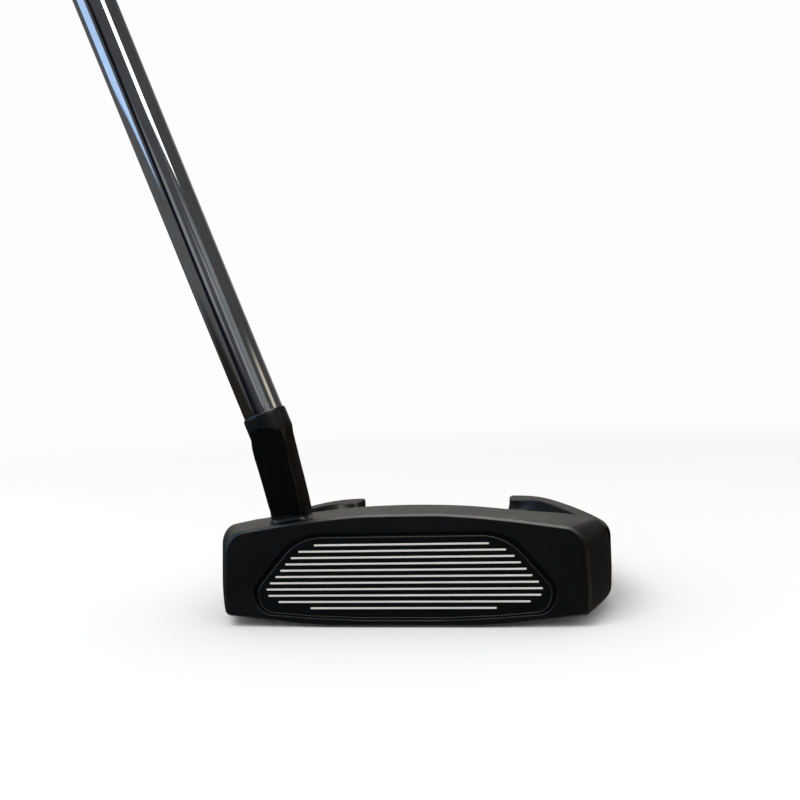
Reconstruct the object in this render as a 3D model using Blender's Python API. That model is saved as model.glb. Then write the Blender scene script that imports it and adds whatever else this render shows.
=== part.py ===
# Mallet putter, left-handed, 34 inch: head, slant neck, shaft and pistol grip as separate pieces.
# Frame: +X towards the toe, +Y from the face to the back, +Z up.
# Scene origin: the middle of the flat sole plate, on the ground, with the club at address.
# Lengths are in millimetres from the ground point under the face's leading edge. MM turns them
# into metres, and the parent empty "club" carries the step of ORIGIN_Y back to the scene origin.
# A "shape" is a pair (points, faces).
import math

import bmesh
import bpy
from mathutils import Matrix, Vector

MM = 0.001
ORIGIN_Y = 39.0                    # scene origin, behind the leading edge
SHARP_ANGLE = math.radians(30)     # edges steeper than this are shaded sharp

# ---------------------------------------------------------------- shared dimensions
LOFT = math.radians(3.0)           # face leans back
LIE = math.radians(69.5)           # shaft axis above the ground, leaning to the heel (-X)
LENGTH = 864.0                     # 34 inch, ground to butt along the shaft axis
AXIS_GROUND = (-11.63, -1.5, 0.0)  # where the shaft axis meets the ground

BAR_DEPTH = 16.0                   # front bar, face to its rear wall
PARTING_Y = 21.0                   # end of the body's shoulder, where the wing starts
ARM_END_Y = 36.0                   # end of the arm under the wing's foot
ARM_TOP = 8.0
BRIDGE_FRONT_Z = 17.7              # bridge's top at BAR_DEPTH
BRIDGE_BACK_Z = 15.3               # and at BRIDGE_BACK_Y, beyond the body's end
BRIDGE_BACK_Y = 70.0

TENON_X, TENON_Y, TENON_R = -27.6, 9.75, 2.9
NECK_FOOT = (TENON_X, 8.2)         # x and y of the neck's square foot
FOOT_HALF = (4.5, 4.6)             # its half sizes in x and y
FOOT_POWER = 4.0                   # its squareness, see neck_section
NECK_RIM = 54.2                    # rim of the neck, along the shaft axis from the ground

SIDES = ((-1, "heel"), (1, "toe"))
TOE_WING_SCREWS = ((40.3, 25.3), (37.8, 32.0))
WING_SCREWS = [(side * x, y) for side, _ in SIDES for x, y in TOE_WING_SCREWS]
PLATE_SCREWS = [(side * 13.2, y) for side, _ in SIDES for y in (22.6, 55.6)]

# half width in x, front y, back y, corner radius
PLATE_RECESS = (16.1, 17.9, 60.2, 4.0)
PLATE_GAP = 0.2
SIGHT_GROOVE = (0.9, 18.6, 61.4, 0.4)
SIGHT_GAP = 0.05

# height of the sole's underside: x, z
SOLE = ((0, 0), (17, 0), (20, 0.15), (25, 0.5), (31, 1.2), (36, 1.8), (40, 2.3), (43, 2.65),
        (46, 2.85), (49, 3.05), (52, 3.4), (60, 5.0))

UP = Vector((-math.cos(LIE), 0, math.sin(LIE)))         # along the shaft
GRIP_FLAT = Vector((math.sin(LIE), 0, math.cos(LIE)))   # grip's flat side, away from the player
GRIP_SIDE = Vector((0, 1, 0))


# ---------------------------------------------------------------- measuring
def read_table(rows, x):
    """Straight-line reading of (x, value) rows, held constant beyond both ends."""
    if x <= rows[0][0]:
        return float(rows[0][1])
    for (x_low, low), (x_high, high) in zip(rows, rows[1:]):
        if x <= x_high:
            return low + (high - low) * (x - x_low) / (x_high - x_low)
    return float(rows[-1][1])


def signed_power(base, power):
    return math.copysign(abs(base) ** power, base)


def on_axis(distance):
    """The point of the shaft axis at a distance from the ground."""
    return Vector(AXIS_GROUND) + UP * distance


def in_face(x, height, depth):
    """A point given in the lofted face: x along it, height up it, depth into the head."""
    return (x, height * math.sin(LOFT) + depth * math.cos(LOFT),
            height * math.cos(LOFT) - depth * math.sin(LOFT))


def below_bridge(x, y, depth):
    """A point given relative to the bridge's sloping top; negative depth is below it."""
    slope = BRIDGE_BACK_Z - BRIDGE_FRONT_Z
    run = BRIDGE_BACK_Y - BAR_DEPTH
    return (x, y, BRIDGE_FRONT_Z + slope * (y - BAR_DEPTH) / run + depth)


def profile_along_x(y, z, x):
    return (x, y, z)


def profile_along_y(x, z, y):
    return (x, y, z)


# ---------------------------------------------------------------- materials
def material(name, colour, roughness, metallic):
    mat = bpy.data.materials.new(name)
    mat.use_nodes = True
    inputs = mat.node_tree.nodes["Principled BSDF"].inputs
    inputs["Base Color"].default_value = (*colour, 1)
    inputs["Roughness"].default_value = roughness
    inputs["Metallic"].default_value = metallic
    return mat


def grey(level):
    return (level, level, level)


def make_materials():
    """All materials, keyed by what they are used for."""
    return {
        "body": material("satin_black_aluminium", grey(0.012), roughness=0.42, metallic=0.6),
        "steel": material("satin_black_steel", grey(0.014), roughness=0.38, metallic=0.7),
        "insert": material("black_urethane", grey(0.006), roughness=0.45, metallic=0.0),
        "beam": material("bright_aluminium", (0.78, 0.77, 0.74), roughness=0.35, metallic=0.8),
        "shaft": material("black_chrome", (0.16, 0.165, 0.18), roughness=0.06, metallic=1.0),
        "screw": material("dark_screw_steel", (0.10, 0.10, 0.105), roughness=0.3, metallic=1.0),
        "weight": material("grey_weight_steel", (0.22, 0.22, 0.23), roughness=0.3, metallic=1.0),
        "seal": material("black_nitrile", grey(0.01), roughness=0.6, metallic=0.0),
        "damper": material("grey_elastomer", (0.08, 0.08, 0.09), roughness=0.7, metallic=0.0),
        "bond": material("white_foam_tape", (0.6, 0.6, 0.58), roughness=0.8, metallic=0.0),
        "inlay": material("white_inlay", (0.8, 0.8, 0.79), roughness=0.4, metallic=0.0),
        "grip": material("black_rubber_grip", (0.015, 0.015, 0.016), roughness=0.75, metallic=0.0),
        "cap": material("black_plastic_cap", grey(0.012), roughness=0.5, metallic=0.0),
        "tape": material("grip_tape", (0.55, 0.5, 0.38), roughness=0.8, metallic=0.0),
    }


# ---------------------------------------------------------------- objects
def make_object(name, shape, mat=None):
    """A named object from a shape in millimetres, with its normals pointing out."""
    verts, faces = shape
    mesh = bpy.data.meshes.new(name)
    mesh.from_pydata([tuple(c * MM for c in vert) for vert in verts], [], faces)
    work = bmesh.new()
    work.from_mesh(mesh)
    bmesh.ops.recalc_face_normals(work, faces=work.faces)
    if work.calc_volume(signed=True) < 0:
        bmesh.ops.reverse_faces(work, faces=work.faces)
    work.to_mesh(mesh)
    work.free()
    made = bpy.data.objects.new(name, mesh)
    bpy.context.scene.collection.objects.link(made)
    if mat is not None:
        mesh.materials.append(mat)
    mesh.shade_smooth()
    mesh.set_sharp_from_angle(angle=SHARP_ANGLE)
    return made


def origin_at(target, x, y, z=0.0):
    """Moves an object's origin to a point in millimetres and leaves its shape where it is."""
    point = Vector((x, y, z)) * MM
    target.data.transform(Matrix.Translation(-point))
    target.location = point


def boolean(target, name, shape, operation):
    """Combines target with a hidden helper object made from shape."""
    helper = make_object(name, shape)
    helper.hide_render = True
    helper.display_type = "WIRE"
    modifier = target.modifiers.new(name, "BOOLEAN")
    modifier.operation = operation
    modifier.object = helper
    modifier.solver = "EXACT"


def cut(target, name, shape):
    boolean(target, name, shape, "DIFFERENCE")


def add(target, name, shape):
    boolean(target, name, shape, "UNION")


# ---------------------------------------------------------------- shapes
def loft(loops, closed=False):
    """Skins equal-length loops. Open lofts get end caps; closed ones join last loop to first."""
    n = len(loops[0])
    verts = [point for loop in loops for point in loop]
    faces = []
    for i in range(len(loops) if closed else len(loops) - 1):
        a, b = i * n, ((i + 1) % len(loops)) * n
        for k in range(n):
            j = (k + 1) % n
            faces.append((a + k, a + j, b + j, b + k))
    if not closed:
        faces.append(tuple(reversed(range(n))))
        faces.append(tuple(range((len(loops) - 1) * n, len(loops) * n)))
    return verts, faces


def ring(centre, axis, radius, n, start=(1, 0, 0)):
    """Points of a circle about axis. The first one lies towards start."""
    axis = Vector(axis).normalized()
    u = Vector(start)
    u = (u - axis * u.dot(axis)).normalized()
    v = axis.cross(u)
    centre = Vector(centre)
    angles = [2 * math.pi * k / n for k in range(n)]
    return [tuple(centre + u * (radius * math.cos(a)) + v * (radius * math.sin(a)))
            for a in angles]


def turned(profile, base, axis, n, start=(1, 0, 0), closed=False):
    """A turned shape: profile is (radius, distance along axis) rows."""
    base, axis = Vector(base), Vector(axis).normalized()
    return loft([ring(base + axis * s, axis, radius, n, start) for radius, s in profile], closed)


def upright(profile, x, y, n, closed=False):
    """A shape turned about a vertical axis: profile is (radius, z) rows."""
    return turned(profile, (x, y, 0), (0, 0, 1), n, closed=closed)


def upright_each(profile, places, n):
    """The same upright shape at every (x, y) place."""
    return join([upright(profile, x, y, n) for x, y in places])


def prism(outline, low, high, place=lambda x, y, z: (x, y, z)):
    """An outline (x, y) pulled from low to high. place turns (x, y, z) into a point."""
    return loft([[place(x, y, level) for x, y in outline] for level in (low, high)])


def join(parts):
    """Several shapes as one, kept apart."""
    verts, faces = [], []
    for part_verts, part_faces in parts:
        base = len(verts)
        verts += part_verts
        faces += [tuple(i + base for i in face) for face in part_faces]
    return verts, faces


def on_side(shape, side):
    """A toe-side shape as it is (side 1), or mirrored to the heel (side -1)."""
    return [(side * x, y, z) for x, y, z in shape[0]], shape[1]


def rounded(points, segs):
    """A closed outline from corners (x, y, radius), each rounded in segs steps unless radius is 0."""
    out = []
    n = len(points)
    for i, (x, y, radius) in enumerate(points):
        if radius <= 0:
            out.append((x, y))
            continue
        corner = Vector((x, y))
        to_last = (Vector(points[i - 1][:2]) - corner).normalized()
        to_next = (Vector(points[(i + 1) % n][:2]) - corner).normalized()
        half = math.acos(max(-1, min(1, to_last.dot(to_next)))) / 2
        reach = radius / math.tan(half)
        centre = corner + (to_last + to_next).normalized() * (radius / math.sin(half))
        start = corner + to_last * reach - centre
        end = corner + to_next * reach - centre
        sweep = math.atan2(start.x * end.y - start.y * end.x, start.dot(end))
        for k in range(segs + 1):
            c, s = math.cos(sweep * k / segs), math.sin(sweep * k / segs)
            out.append((centre.x + start.x * c - start.y * s, centre.y + start.x * s + start.y * c))
    return out


def mirrored(half):
    """A whole outline from its x > 0 half."""
    return half + [(-x, *rest) for x, *rest in reversed(half)]


def rect(half, low, high, radius=0.0, segs=4, inset=0.0):
    """Outline of a rectangle centred on x = 0, drawn in by inset."""
    x, y0, y1, r = half - inset, low + inset, high - inset, radius - inset
    return rounded([(-x, y0, r), (x, y0, r), (x, y1, r), (-x, y1, r)], segs)


def box(x0, x1, y0, y1, z0, z1):
    return prism([(x0, y0), (x1, y0), (x1, y1), (x0, y1)], z0, z1)


# ---------------------------------------------------------------- head body
# height of the top edge at the face and at the bar's rear wall: x, z
TOP_AT_FACE = ((0, 26.1), (8, 26.05), (16, 25.55), (24, 24.7), (30, 23.9), (36, 23.05),
               (40, 22.45), (43, 21.9), (50, 20.6))
TOP_AT_BAR = ((0, 26.2), (8, 26.05), (16, 25.6), (24, 24.75), (30, 24.1), (36, 23.6),
              (40, 23.15), (44, 22.5), (46, 22.1), (50, 21.0))
# y, half width
HALF_WIDTH = ((0, 43.15), (0.6, 43.35), (4, 44.7), (8, 46.15), (12, 47.5), (16, 48.55),
              (20, 49.25), (24, 49.6), (30, 49.5), (36, 48.5), (66, 40.0))
BODY_STATIONS = (4, 8, 12, 16, 18.5, 21, 24, 30, 36.5, 50, 66)
TOP_XS = (6, 12, 18, 24, 30, 35)
SOLE_XS = (40.4, 37, 33, 29, 25, 21, 17)
FACE_EDGE = 0.6                    # rounding round the face
SIDE_DRAFT = 0.035                 # side wall leans in by this per mm above DRAFT_Z
DRAFT_Z = 7
WIDEST_Z = 8.0
SHOULDER_SLOPE = 0.52              # fall of the top from the bar's rear wall to PARTING_Y
STEP_HALF = 43.4

# toe half of the opening between bridge and wings, from the bridge's end: x, y, radius
VOID = [(9, 64.4, 30), (17.6, 62.6, 5.0), (19.6, PARTING_Y, 2.5), (33, PARTING_Y, 2.5),
        (33, ARM_END_Y, 1.0), (60, ARM_END_Y, 0), (60, 80, 0)]
CAVITY = (10.2, 20.0, 57.5, 3)     # above the sole plate, in PLATE_RECESS's columns

POCKET_DEPTH = 4.9
# x, height up the face, corner radius; toe half, top to bottom
INSERT_OUTLINE = ((23.0, 21.05, 5.5), (35.3, 9.6, 3.6), (33.4, 3.75, 3.4), (22.0, 2.75, 0),
                  (11.0, 1.95, 0))
CHAMBER = (22, 6.2, 17.8)          # damper's chamber: half width, bottom and top up the face
DAMPER_GAP = 0.4

# hole profiles: radius, z
TENON_HOLE = ((3.95, -2), (3.95, 1.0), (2.2, 2.75), (2.2, 9.6), (TENON_R + 0.15, 9.6),
              (TENON_R + 0.15, 23))
WING_SCREW_HOLE = ((2.95, -2), (2.95, 3.0), (1.7, 4.25), (1.7, 12))
PLATE_SCREW_HOLE = ((1.3, 0.5), (1.3, 7.4))


def head_loop(y, inset=0.0, depth=None):
    """One closed section of the head, sized for y and set at depth (y if not given).

    inset shrinks it, for the rounding round the face.
    """
    width = read_table(HALF_WIDTH, y) - inset
    share = min(1.0, y / BAR_DEPTH)
    drop = SHOULDER_SLOPE * min(PARTING_Y - BAR_DEPTH, max(0.0, y - BAR_DEPTH))

    def top(x):
        level = read_table(TOP_AT_FACE, x) * (1 - share) + read_table(TOP_AT_BAR, x) * share
        return level - drop - inset * 0.95

    def low(x):
        return read_table(SOLE, x) + inset * 0.75

    corner_r = 3.3 - inset * 0.8
    foot_r = 1.5 - inset * 0.5
    x_top = width - SIDE_DRAFT * (top(width) - DRAFT_Z)
    x_corner = x_top - 1.15 * corner_r
    half = [(x, top(x), 0) for x in TOP_XS]
    half += [(x_corner, top(x_corner), 0), (x_top, top(x_top), corner_r)]
    half += [(width, WIDEST_Z, 0), (width - 0.45 + 0.2 * share, low(width), foot_r)]
    half += [(x, low(x), 0) for x in SOLE_XS]
    lean = math.tan(LOFT) * (1 - share)
    base = y if depth is None else depth
    return [(x, base + z * lean, z) for x, z in rounded(mirrored(half), 4)]


def insert_outline(inset):
    """The insert's outline in the face, drawn in by inset."""
    half = []
    for x, height, radius in INSERT_OUTLINE:
        shift = -inset if height > 15 else inset if height < 5 else 0
        half.append((x - inset * 0.9, height + shift, max(0.0, radius - inset)))
    return rounded(mirrored(half), 5)


def build_body():
    loops = [head_loop(0.0, FACE_EDGE), head_loop(0.1, 0.18, 0.19), head_loop(FACE_EDGE)]
    loops += [head_loop(y) for y in BODY_STATIONS]
    body = make_object("head_body", loft(loops), MATERIALS["body"])

    # behind the front bar: a step down to the bridge, and the seats for the wings' feet
    step = [(BAR_DEPTH, BRIDGE_FRONT_Z), (BRIDGE_BACK_Y, BRIDGE_BACK_Z), (BRIDGE_BACK_Y, 40),
            (BAR_DEPTH, 40)]
    cut(body, "cut_step", prism(step, -STEP_HALF, STEP_HALF, profile_along_x))
    seat = box(26, 60, PARTING_Y, 37.5, ARM_TOP, 40)
    cut(body, "cut_foot_seats", join([seat, on_side(seat, -1)]))
    cut(body, "cut_voids", prism(rounded(mirrored(VOID), 4), -5, 40))

    # sole: a recess for the plate, with a cavity above it
    cut(body, "cut_plate_recess", prism(rect(*PLATE_RECESS), -4, 1.75))
    cut(body, "cut_cavity", prism(rect(*CAVITY), -6, 12.0))

    # face: the pocket for the insert, and the damper's chamber behind it
    cut(body, "cut_insert_pocket", prism(insert_outline(0), -3, POCKET_DEPTH, in_face))
    cut(body, "cut_damper_chamber", prism(rect(*CHAMBER), 3, 11.2, in_face))

    # neck seat, and the tenon hole with its screw hole from the sole
    seat_x, seat_y = (half + 0.15 for half in FOOT_HALF)
    cut(body, "cut_neck_seat", loft([
        neck_section((*NECK_FOOT, z), seat_x, seat_y, FOOT_POWER, 0.0) for z in (22.4, 32)]))
    cut(body, "cut_tenon_hole", upright(TENON_HOLE, TENON_X, TENON_Y, 20))

    cut(body, "cut_wing_screw_holes", upright_each(WING_SCREW_HOLE, WING_SCREWS, 14))
    cut(body, "cut_plate_screw_holes", upright_each(PLATE_SCREW_HOLE, PLATE_SCREWS, 12))
    cut(body, "cut_sight_groove", prism(rect(*SIGHT_GROOVE, segs=2), -0.7, 5, below_bridge))


# ---------------------------------------------------------------- face insert and damper
BEAM_PITCH = 1.475
BEAM_THICK = 0.43
BEAM_TOP = 19.12                   # height of the top beam, measured up the face
BEAM_HALF = (20.6, 24.45, 26.3, 27.7, 28.95, 30.2, 31.6, 32.45, 32.05, 29.6, 21.85)
SLOT_GAP = 0.03


def beam_bars(gap, front, back):
    """The row of horizontal beams, top to bottom, each grown by gap."""
    bars = []
    for i, half in enumerate(BEAM_HALF):
        height = BEAM_TOP - i * BEAM_PITCH
        t = BEAM_THICK / 2 + gap
        bars.append(prism(rect(half + gap, height - t, height + t), front, back, in_face))
    return join(bars)


def build_insert():
    insert = make_object("face_insert", prism(insert_outline(0.12), 0.05, 3.4, in_face),
                         MATERIALS["insert"])
    cut(insert, "cut_beam_slots", beam_bars(SLOT_GAP, -1, 5))
    plate = make_object("insert_beam_plate", prism(insert_outline(0.35), 3.45, 4.4, in_face),
                        MATERIALS["beam"])
    add(plate, "add_beams", beam_bars(0.0, 0.03, 3.9))
    make_object("insert_bond_tape", prism(insert_outline(0.6), 4.45, 4.85, in_face),
                MATERIALS["bond"])


def build_damper():
    half, low, high = CHAMBER
    outline = rect(half - DAMPER_GAP, low + DAMPER_GAP, high - DAMPER_GAP, radius=1, segs=2)
    make_object("face_damper", prism(outline, 5.0, 10.9, in_face), MATERIALS["damper"])


# ---------------------------------------------------------------- sole plate and sight line
PLATE_COUNTERSINK = ((2.35, -1), (2.35, 0.1), (1.4, 1.1), (1.4, 3))   # radius, z


def build_sole_plate():
    plate = make_object("sole_plate", prism(rect(*PLATE_RECESS, inset=PLATE_GAP), 0, 1.6),
                        MATERIALS["body"])
    cut(plate, "cut_plate_countersinks", upright_each(PLATE_COUNTERSINK, PLATE_SCREWS, 12))


def build_sight_line():
    outline = rect(*SIGHT_GROOVE, segs=2, inset=SIGHT_GAP)
    make_object("sight_line_inlay", prism(outline, -0.65, -0.02, below_bridge),
                MATERIALS["inlay"])


# ---------------------------------------------------------------- screws
def screw(name, place, head_z, head_r, head_h, shank_r, top_z, hexagon, depth, n=12):
    """A countersunk screw driven up from the sole.

    hexagon is its socket's size across the flats, depth how far the socket goes in.
    """
    profile = [(head_r, head_z), (head_r, head_z + 0.15), (shank_r, head_z + head_h),
               (shank_r, top_z - 0.3), (shank_r - 0.3, top_z)]
    made = make_object(name, upright(profile, *place, n), MATERIALS["screw"])
    origin_at(made, *place)
    socket_r = hexagon / math.sqrt(3)
    socket = [(socket_r, head_z - 1), (socket_r, head_z + depth)]
    cut(made, "socket_" + name, upright(socket, *place, 6))


def build_screws():
    screw("neck_screw", (TENON_X, TENON_Y), head_z=1.05, head_r=3.45, head_h=1.6, shank_r=1.9,
          top_z=17.0, hexagon=2.5, depth=1.3, n=16)
    for i, place in enumerate(WING_SCREWS):
        label = "heel" if place[0] < 0 else "toe"
        screw(f"wing_screw_{label}_{i % 2 + 1}", place, head_z=3.05, head_r=2.5, head_h=1.2,
              shank_r=1.3, top_z=11.4, hexagon=1.9, depth=1.0)
    for i, place in enumerate(PLATE_SCREWS):
        screw(f"sole_plate_screw_{i + 1}", place, head_z=0.1, head_r=2.0, head_h=0.95,
              shank_r=1.0, top_z=6.8, hexagon=1.5, depth=0.7)


# ---------------------------------------------------------------- wings and sole weights
WING_TOP = 19.5
RAIL_BOTTOM = -2.0
# plan of one wing's rail, toe side: x, y, top rounding there
RAIL = (
    (49.45, 21.3, 2.4), (49.6, 25.5, 2.4), (49.35, 30.5, 2.4), (48.35, 36.0, 2.4),
    (46.85, 42.2, 2.4), (45.0, 48.9, 2.4), (43.0, 55.6, 2.4), (40.8, 62.0, 2.4),
    (38.5, 68.2, 2.4), (36.0, 73.6, 2.3), (33.3, 77.6, 2.2), (30.2, 80.2, 2.0),
    (26.9, 81.3, 1.6), (24.2, 81.2, 1.2), (23.3, 80.2, 0.8), (23.25, 75.5, 0.5),
    (23.5, 70.9, 0.5), (24.3, 70.0, 0.5), (27.0, 69.55, 0.5), (29.7, 68.3, 0.5),
    (32.3, 65.6, 0.5), (34.4, 61.9, 0.5), (36.4, 57.0, 0.5), (38.2, 51.5, 0.5),
    (40.0, 45.9, 0.5), (41.5, 40.2, 0.5), (42.6, 34.5, 0.5), (43.3, 28.5, 0.5),
    (43.45, 21.3, 0.5))
RAIL_ANGLES = (0.0, 35.0, 65.0, 90.0)   # steps of the top rounding, wall to flat top

FLOOR_TOP = 12.7
FLOOR_EDGE = 0.6                   # chamfer round the floor's top
ARM_GAP = 0.3
RELIEF = ((57.0, -6), (57.0, -0.2), (86, 5.4), (86, -6))   # y, z, under the back of the wing

WEIGHT_X, WEIGHT_Y = 33.5, 54.0
# profiles about the weight's axis: radius, z
WEIGHT_BORE = ((7.6, -3), (7.6, 4.9), (5.7, 4.9), (5.7, 11.9))
WEIGHT_PUCK = ((6.7, 2.6), (7.25, 2.95), (7.25, 4.15), (5.5, 4.15), (5.5, 10.7), (5.0, 11.2))
WEIGHT_SOCKET = ((2.9, 1), (2.9, 6.6))
WEIGHT_SEAL = ((5.85, 4.25), (7.1, 4.25), (7.1, 4.8), (5.85, 4.8))
WING_TAP = ((1.55, 6.0), (1.55, 11.9))


def rail_loop(angle):
    """The rail's plan at one step of its top rounding."""
    points = [Vector((x, y)) for x, y, _ in RAIL]
    turn = math.radians(angle)
    out = []
    for i, (point, (_, _, radius)) in enumerate(zip(points, RAIL)):
        if i == 0:
            normal = Vector((1, 0))
        elif i == len(RAIL) - 1:
            normal = Vector((-1, 0))
        else:
            tangent = (points[i + 1] - points[i - 1]).normalized()
            normal = Vector((tangent.y, -tangent.x))
        moved = point - normal * (radius * (1 - math.cos(turn)))
        out.append((moved.x, moved.y, WING_TOP - radius * (1 - math.sin(turn))))
    return out


def rail_shape():
    loops = [rail_loop(angle) for angle in RAIL_ANGLES]
    return loft([[(x, y, RAIL_BOTTOM) for x, y, _ in loops[0]]] + loops)


def floor_loop(z, inset):
    """Plan of the lower part inside the rail, toe side. Its outer side hides in the rail."""
    x_mid, x_in, y_front = 33.6 + inset, 23.3 + inset, 22.3 + inset
    outline = rounded([
        (x_mid, y_front, 2.2), (46.0, y_front, 0), (46.2, 30.0, 0), (44.6, 40.0, 0),
        (42.4, 48.0, 0), (40.0, 56.0, 0), (37.2, 64.0, 0), (34.2, 70.5, 0), (28.5, 76.0, 0),
        (24.6 + inset, 76.0, 0), (x_in, 70.0, 0), (x_in, 48.5, 6.0), (x_mid, 38.5, 5.0)], 4)
    return [(x, y, z) for x, y in outline]


def camber_shape():
    """A solid under the sole's camber, toe side, to trim the wing to it."""
    x_low, x_high, steps = 15, 57, 12
    xs = [x_low + (x_high - x_low) * k / steps for k in range(steps + 1)]
    outline = [(x, read_table(SOLE, x)) for x in xs] + [(x_high, -9), (x_low, -9)]
    return prism(outline, 5, 95, profile_along_y)


def build_wing(side, label):
    wing = make_object("wing_" + label, on_side(rail_shape(), side), MATERIALS["steel"])
    floor = loft([floor_loop(-1.9, 0), floor_loop(FLOOR_TOP - FLOOR_EDGE, 0),
                  floor_loop(FLOOR_TOP, FLOOR_EDGE)])
    add(wing, "add_floor_" + label, on_side(floor, side))
    cutters = (
        ("cut_over_arm_", box(25, 60, 10, ARM_END_Y + ARM_GAP, -10, ARM_TOP + ARM_GAP)),
        ("cut_camber_", camber_shape()),
        ("cut_relief_", prism(RELIEF, 10, 62, profile_along_x)),
        ("cut_weight_bore_", upright(WEIGHT_BORE, WEIGHT_X, WEIGHT_Y, 24)),
        ("cut_taps_", upright_each(WING_TAP, TOE_WING_SCREWS, 12)),
    )
    for name, shape in cutters:
        cut(wing, name + label, on_side(shape, side))


def build_weight(side, label):
    """A puck with a hexagon socket, and the sealing ring above its head."""
    place = (side * WEIGHT_X, WEIGHT_Y)
    puck = make_object("sole_weight_" + label, upright(WEIGHT_PUCK, *place, 24),
                       MATERIALS["weight"])
    origin_at(puck, *place)
    cut(puck, "socket_weight_" + label, upright(WEIGHT_SOCKET, *place, 6))
    seal = make_object("weight_seal_" + label, upright(WEIGHT_SEAL, *place, 24, closed=True),
                       MATERIALS["seal"])
    origin_at(seal, *place)


# ---------------------------------------------------------------- neck
NECK_SEGS = 32
COLLAR_R = 5.15
SPUD_R = 4.1                       # spud that enters the shaft
SPUD_LEN = 24.0
# radius, z
TENON_RINGS = ((TENON_R - 0.4, 9.9), (TENON_R, 10.3), (TENON_R, 22.7))
# centre, half x, half y, power, lean
NECK_SECTIONS = (
    ((*NECK_FOOT, 22.7), *FOOT_HALF, FOOT_POWER, 0.0),
    ((*NECK_FOOT, 25.6), *FOOT_HALF, FOOT_POWER, 0.0),
    ((-27.75, 7.3, 28.2), 4.5, 4.6, 4.0, 0.05),
    ((-28.15, 5.3, 33.2), 4.5, 4.65, 3.8, 0.2),
    ((-28.72, 2.6, 39.3), 4.55, 4.75, 3.3, 0.5),
    ((-28.95, 0.2, 43.8), 4.8, 4.95, 2.6, 0.85))
# radius, distance along the shaft axis from the rim
COLLAR_RINGS = (
    (COLLAR_R, -4.8), (COLLAR_R, -0.9), (COLLAR_R - 0.12, -0.4), (COLLAR_R - 0.5, 0.0),
    (SPUD_R, 0.0), (SPUD_R, SPUD_LEN - 0.6), (SPUD_R - 0.6, SPUD_LEN))


def neck_section(centre, half_x, half_y, power, lean):
    """A circle or ellipse at power 2, squarer as power grows.

    lean tips its axis from vertical (0) to the shaft's (1).
    """
    axis = Vector((0, 0, 1)).lerp(UP, lean).normalized()
    u = (Vector((1, 0, 0)) - axis * axis.x).normalized()
    v = axis.cross(u)
    out = []
    for k in range(NECK_SEGS):
        angle = 2 * math.pi * k / NECK_SEGS
        x = half_x * signed_power(math.cos(angle), 2 / power)
        y = half_y * signed_power(math.sin(angle), 2 / power)
        out.append(tuple(Vector(centre) + u * x + v * y))
    return out


def build_neck():
    loops = [ring((TENON_X, TENON_Y, z), (0, 0, 1), radius, NECK_SEGS)
             for radius, z in TENON_RINGS]
    loops += [neck_section(*row) for row in NECK_SECTIONS]
    loops += [neck_section(on_axis(NECK_RIM + s), radius, radius, 2.0, 1.0)
              for radius, s in COLLAR_RINGS]
    neck = make_object("slant_neck", loft(loops), MATERIALS["steel"])
    cut(neck, "cut_neck_thread", upright([(2.05, 8), (2.05, 17.4)], TENON_X, TENON_Y, 12))


# ---------------------------------------------------------------- shaft
# distance along the axis, outer radius
SHAFT = ((54.35, 4.7), (120, 4.78), (200, 4.92), (300, 5.3), (400, 5.8), (500, 6.3),
         (600, 6.75), (700, 7.1), (800, 7.4), (857.0, 7.55))
SHAFT_WALL = 0.5
SHAFT_SEGS = 28                    # also round the grip


def build_shaft():
    outer = [(radius, s) for s, radius in SHAFT]
    inner = [(radius - SHAFT_WALL, s) for s, radius in reversed(SHAFT)]
    shape = turned(outer + inner, AXIS_GROUND, UP, SHAFT_SEGS, GRIP_FLAT, closed=True)
    shaft = make_object("shaft_tube", shape, MATERIALS["shaft"])
    origin_at(shaft, *on_axis(NECK_RIM))


# ---------------------------------------------------------------- grip
GRIP_START, GRIP_END = 590, 860.8
CAP_START = 861.0
# distance along the shaft, half width, reach of the flat side, reach of the rounded side
GRIP = ((GRIP_START, 9.2, 8.6, 9.2), (594, 9.9, 9.2, 9.9), (640, 10.6, 9.5, 10.9),
        (690, 11.3, 9.9, 12.0), (740, 12.0, 10.3, 13.2), (780, 12.6, 10.65, 14.9),
        (810, 13.0, 10.9, 16.8), (835, 13.3, 11.1, 18.0), (850, 13.4, 11.2, 17.9),
        (GRIP_END, 13.3, 11.2, 17.1))
CAP = ((CAP_START, 13.25, 11.15, 17.0), (862.6, 13.2, 11.1, 16.9), (863.6, 12.6, 10.5, 16.2),
       (LENGTH, 11.4, 9.4, 14.9))
# plug of the cap inside the shaft: distance along the shaft, gap outside the shaft's radius
CAP_PLUG = ((849.0, -1.35), (849.8, -0.75), (CAP_START, -0.75))
BORE_STATIONS = (GRIP_END, 800, 700, 592, GRIP_START)
TAPE_STATIONS = (597.0, 700.0, 800.0, 855.5)


def grip_loop(s, width, flat, back):
    """One section of the grip: flat away from the player, round towards the player."""
    out = []
    for k in range(SHAFT_SEGS):
        angle = 2 * math.pi * k / SHAFT_SEGS
        c, sn = math.cos(angle), math.sin(angle)
        reach, reach_power, width_power = (flat, 0.42, 0.72) if c > 0 else (back, 0.95, 0.92)
        u = min(reach * signed_power(c, reach_power), flat * 0.965)
        v = width * signed_power(sn, width_power)
        out.append(tuple(on_axis(s) + GRIP_FLAT * u + GRIP_SIDE * v))
    return out


def bore_loop(s, gap):
    """A circle round the shaft axis, gap larger in radius than the shaft."""
    return ring(on_axis(s), UP, read_table(SHAFT, s) + gap, SHAFT_SEGS, GRIP_FLAT)


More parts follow.
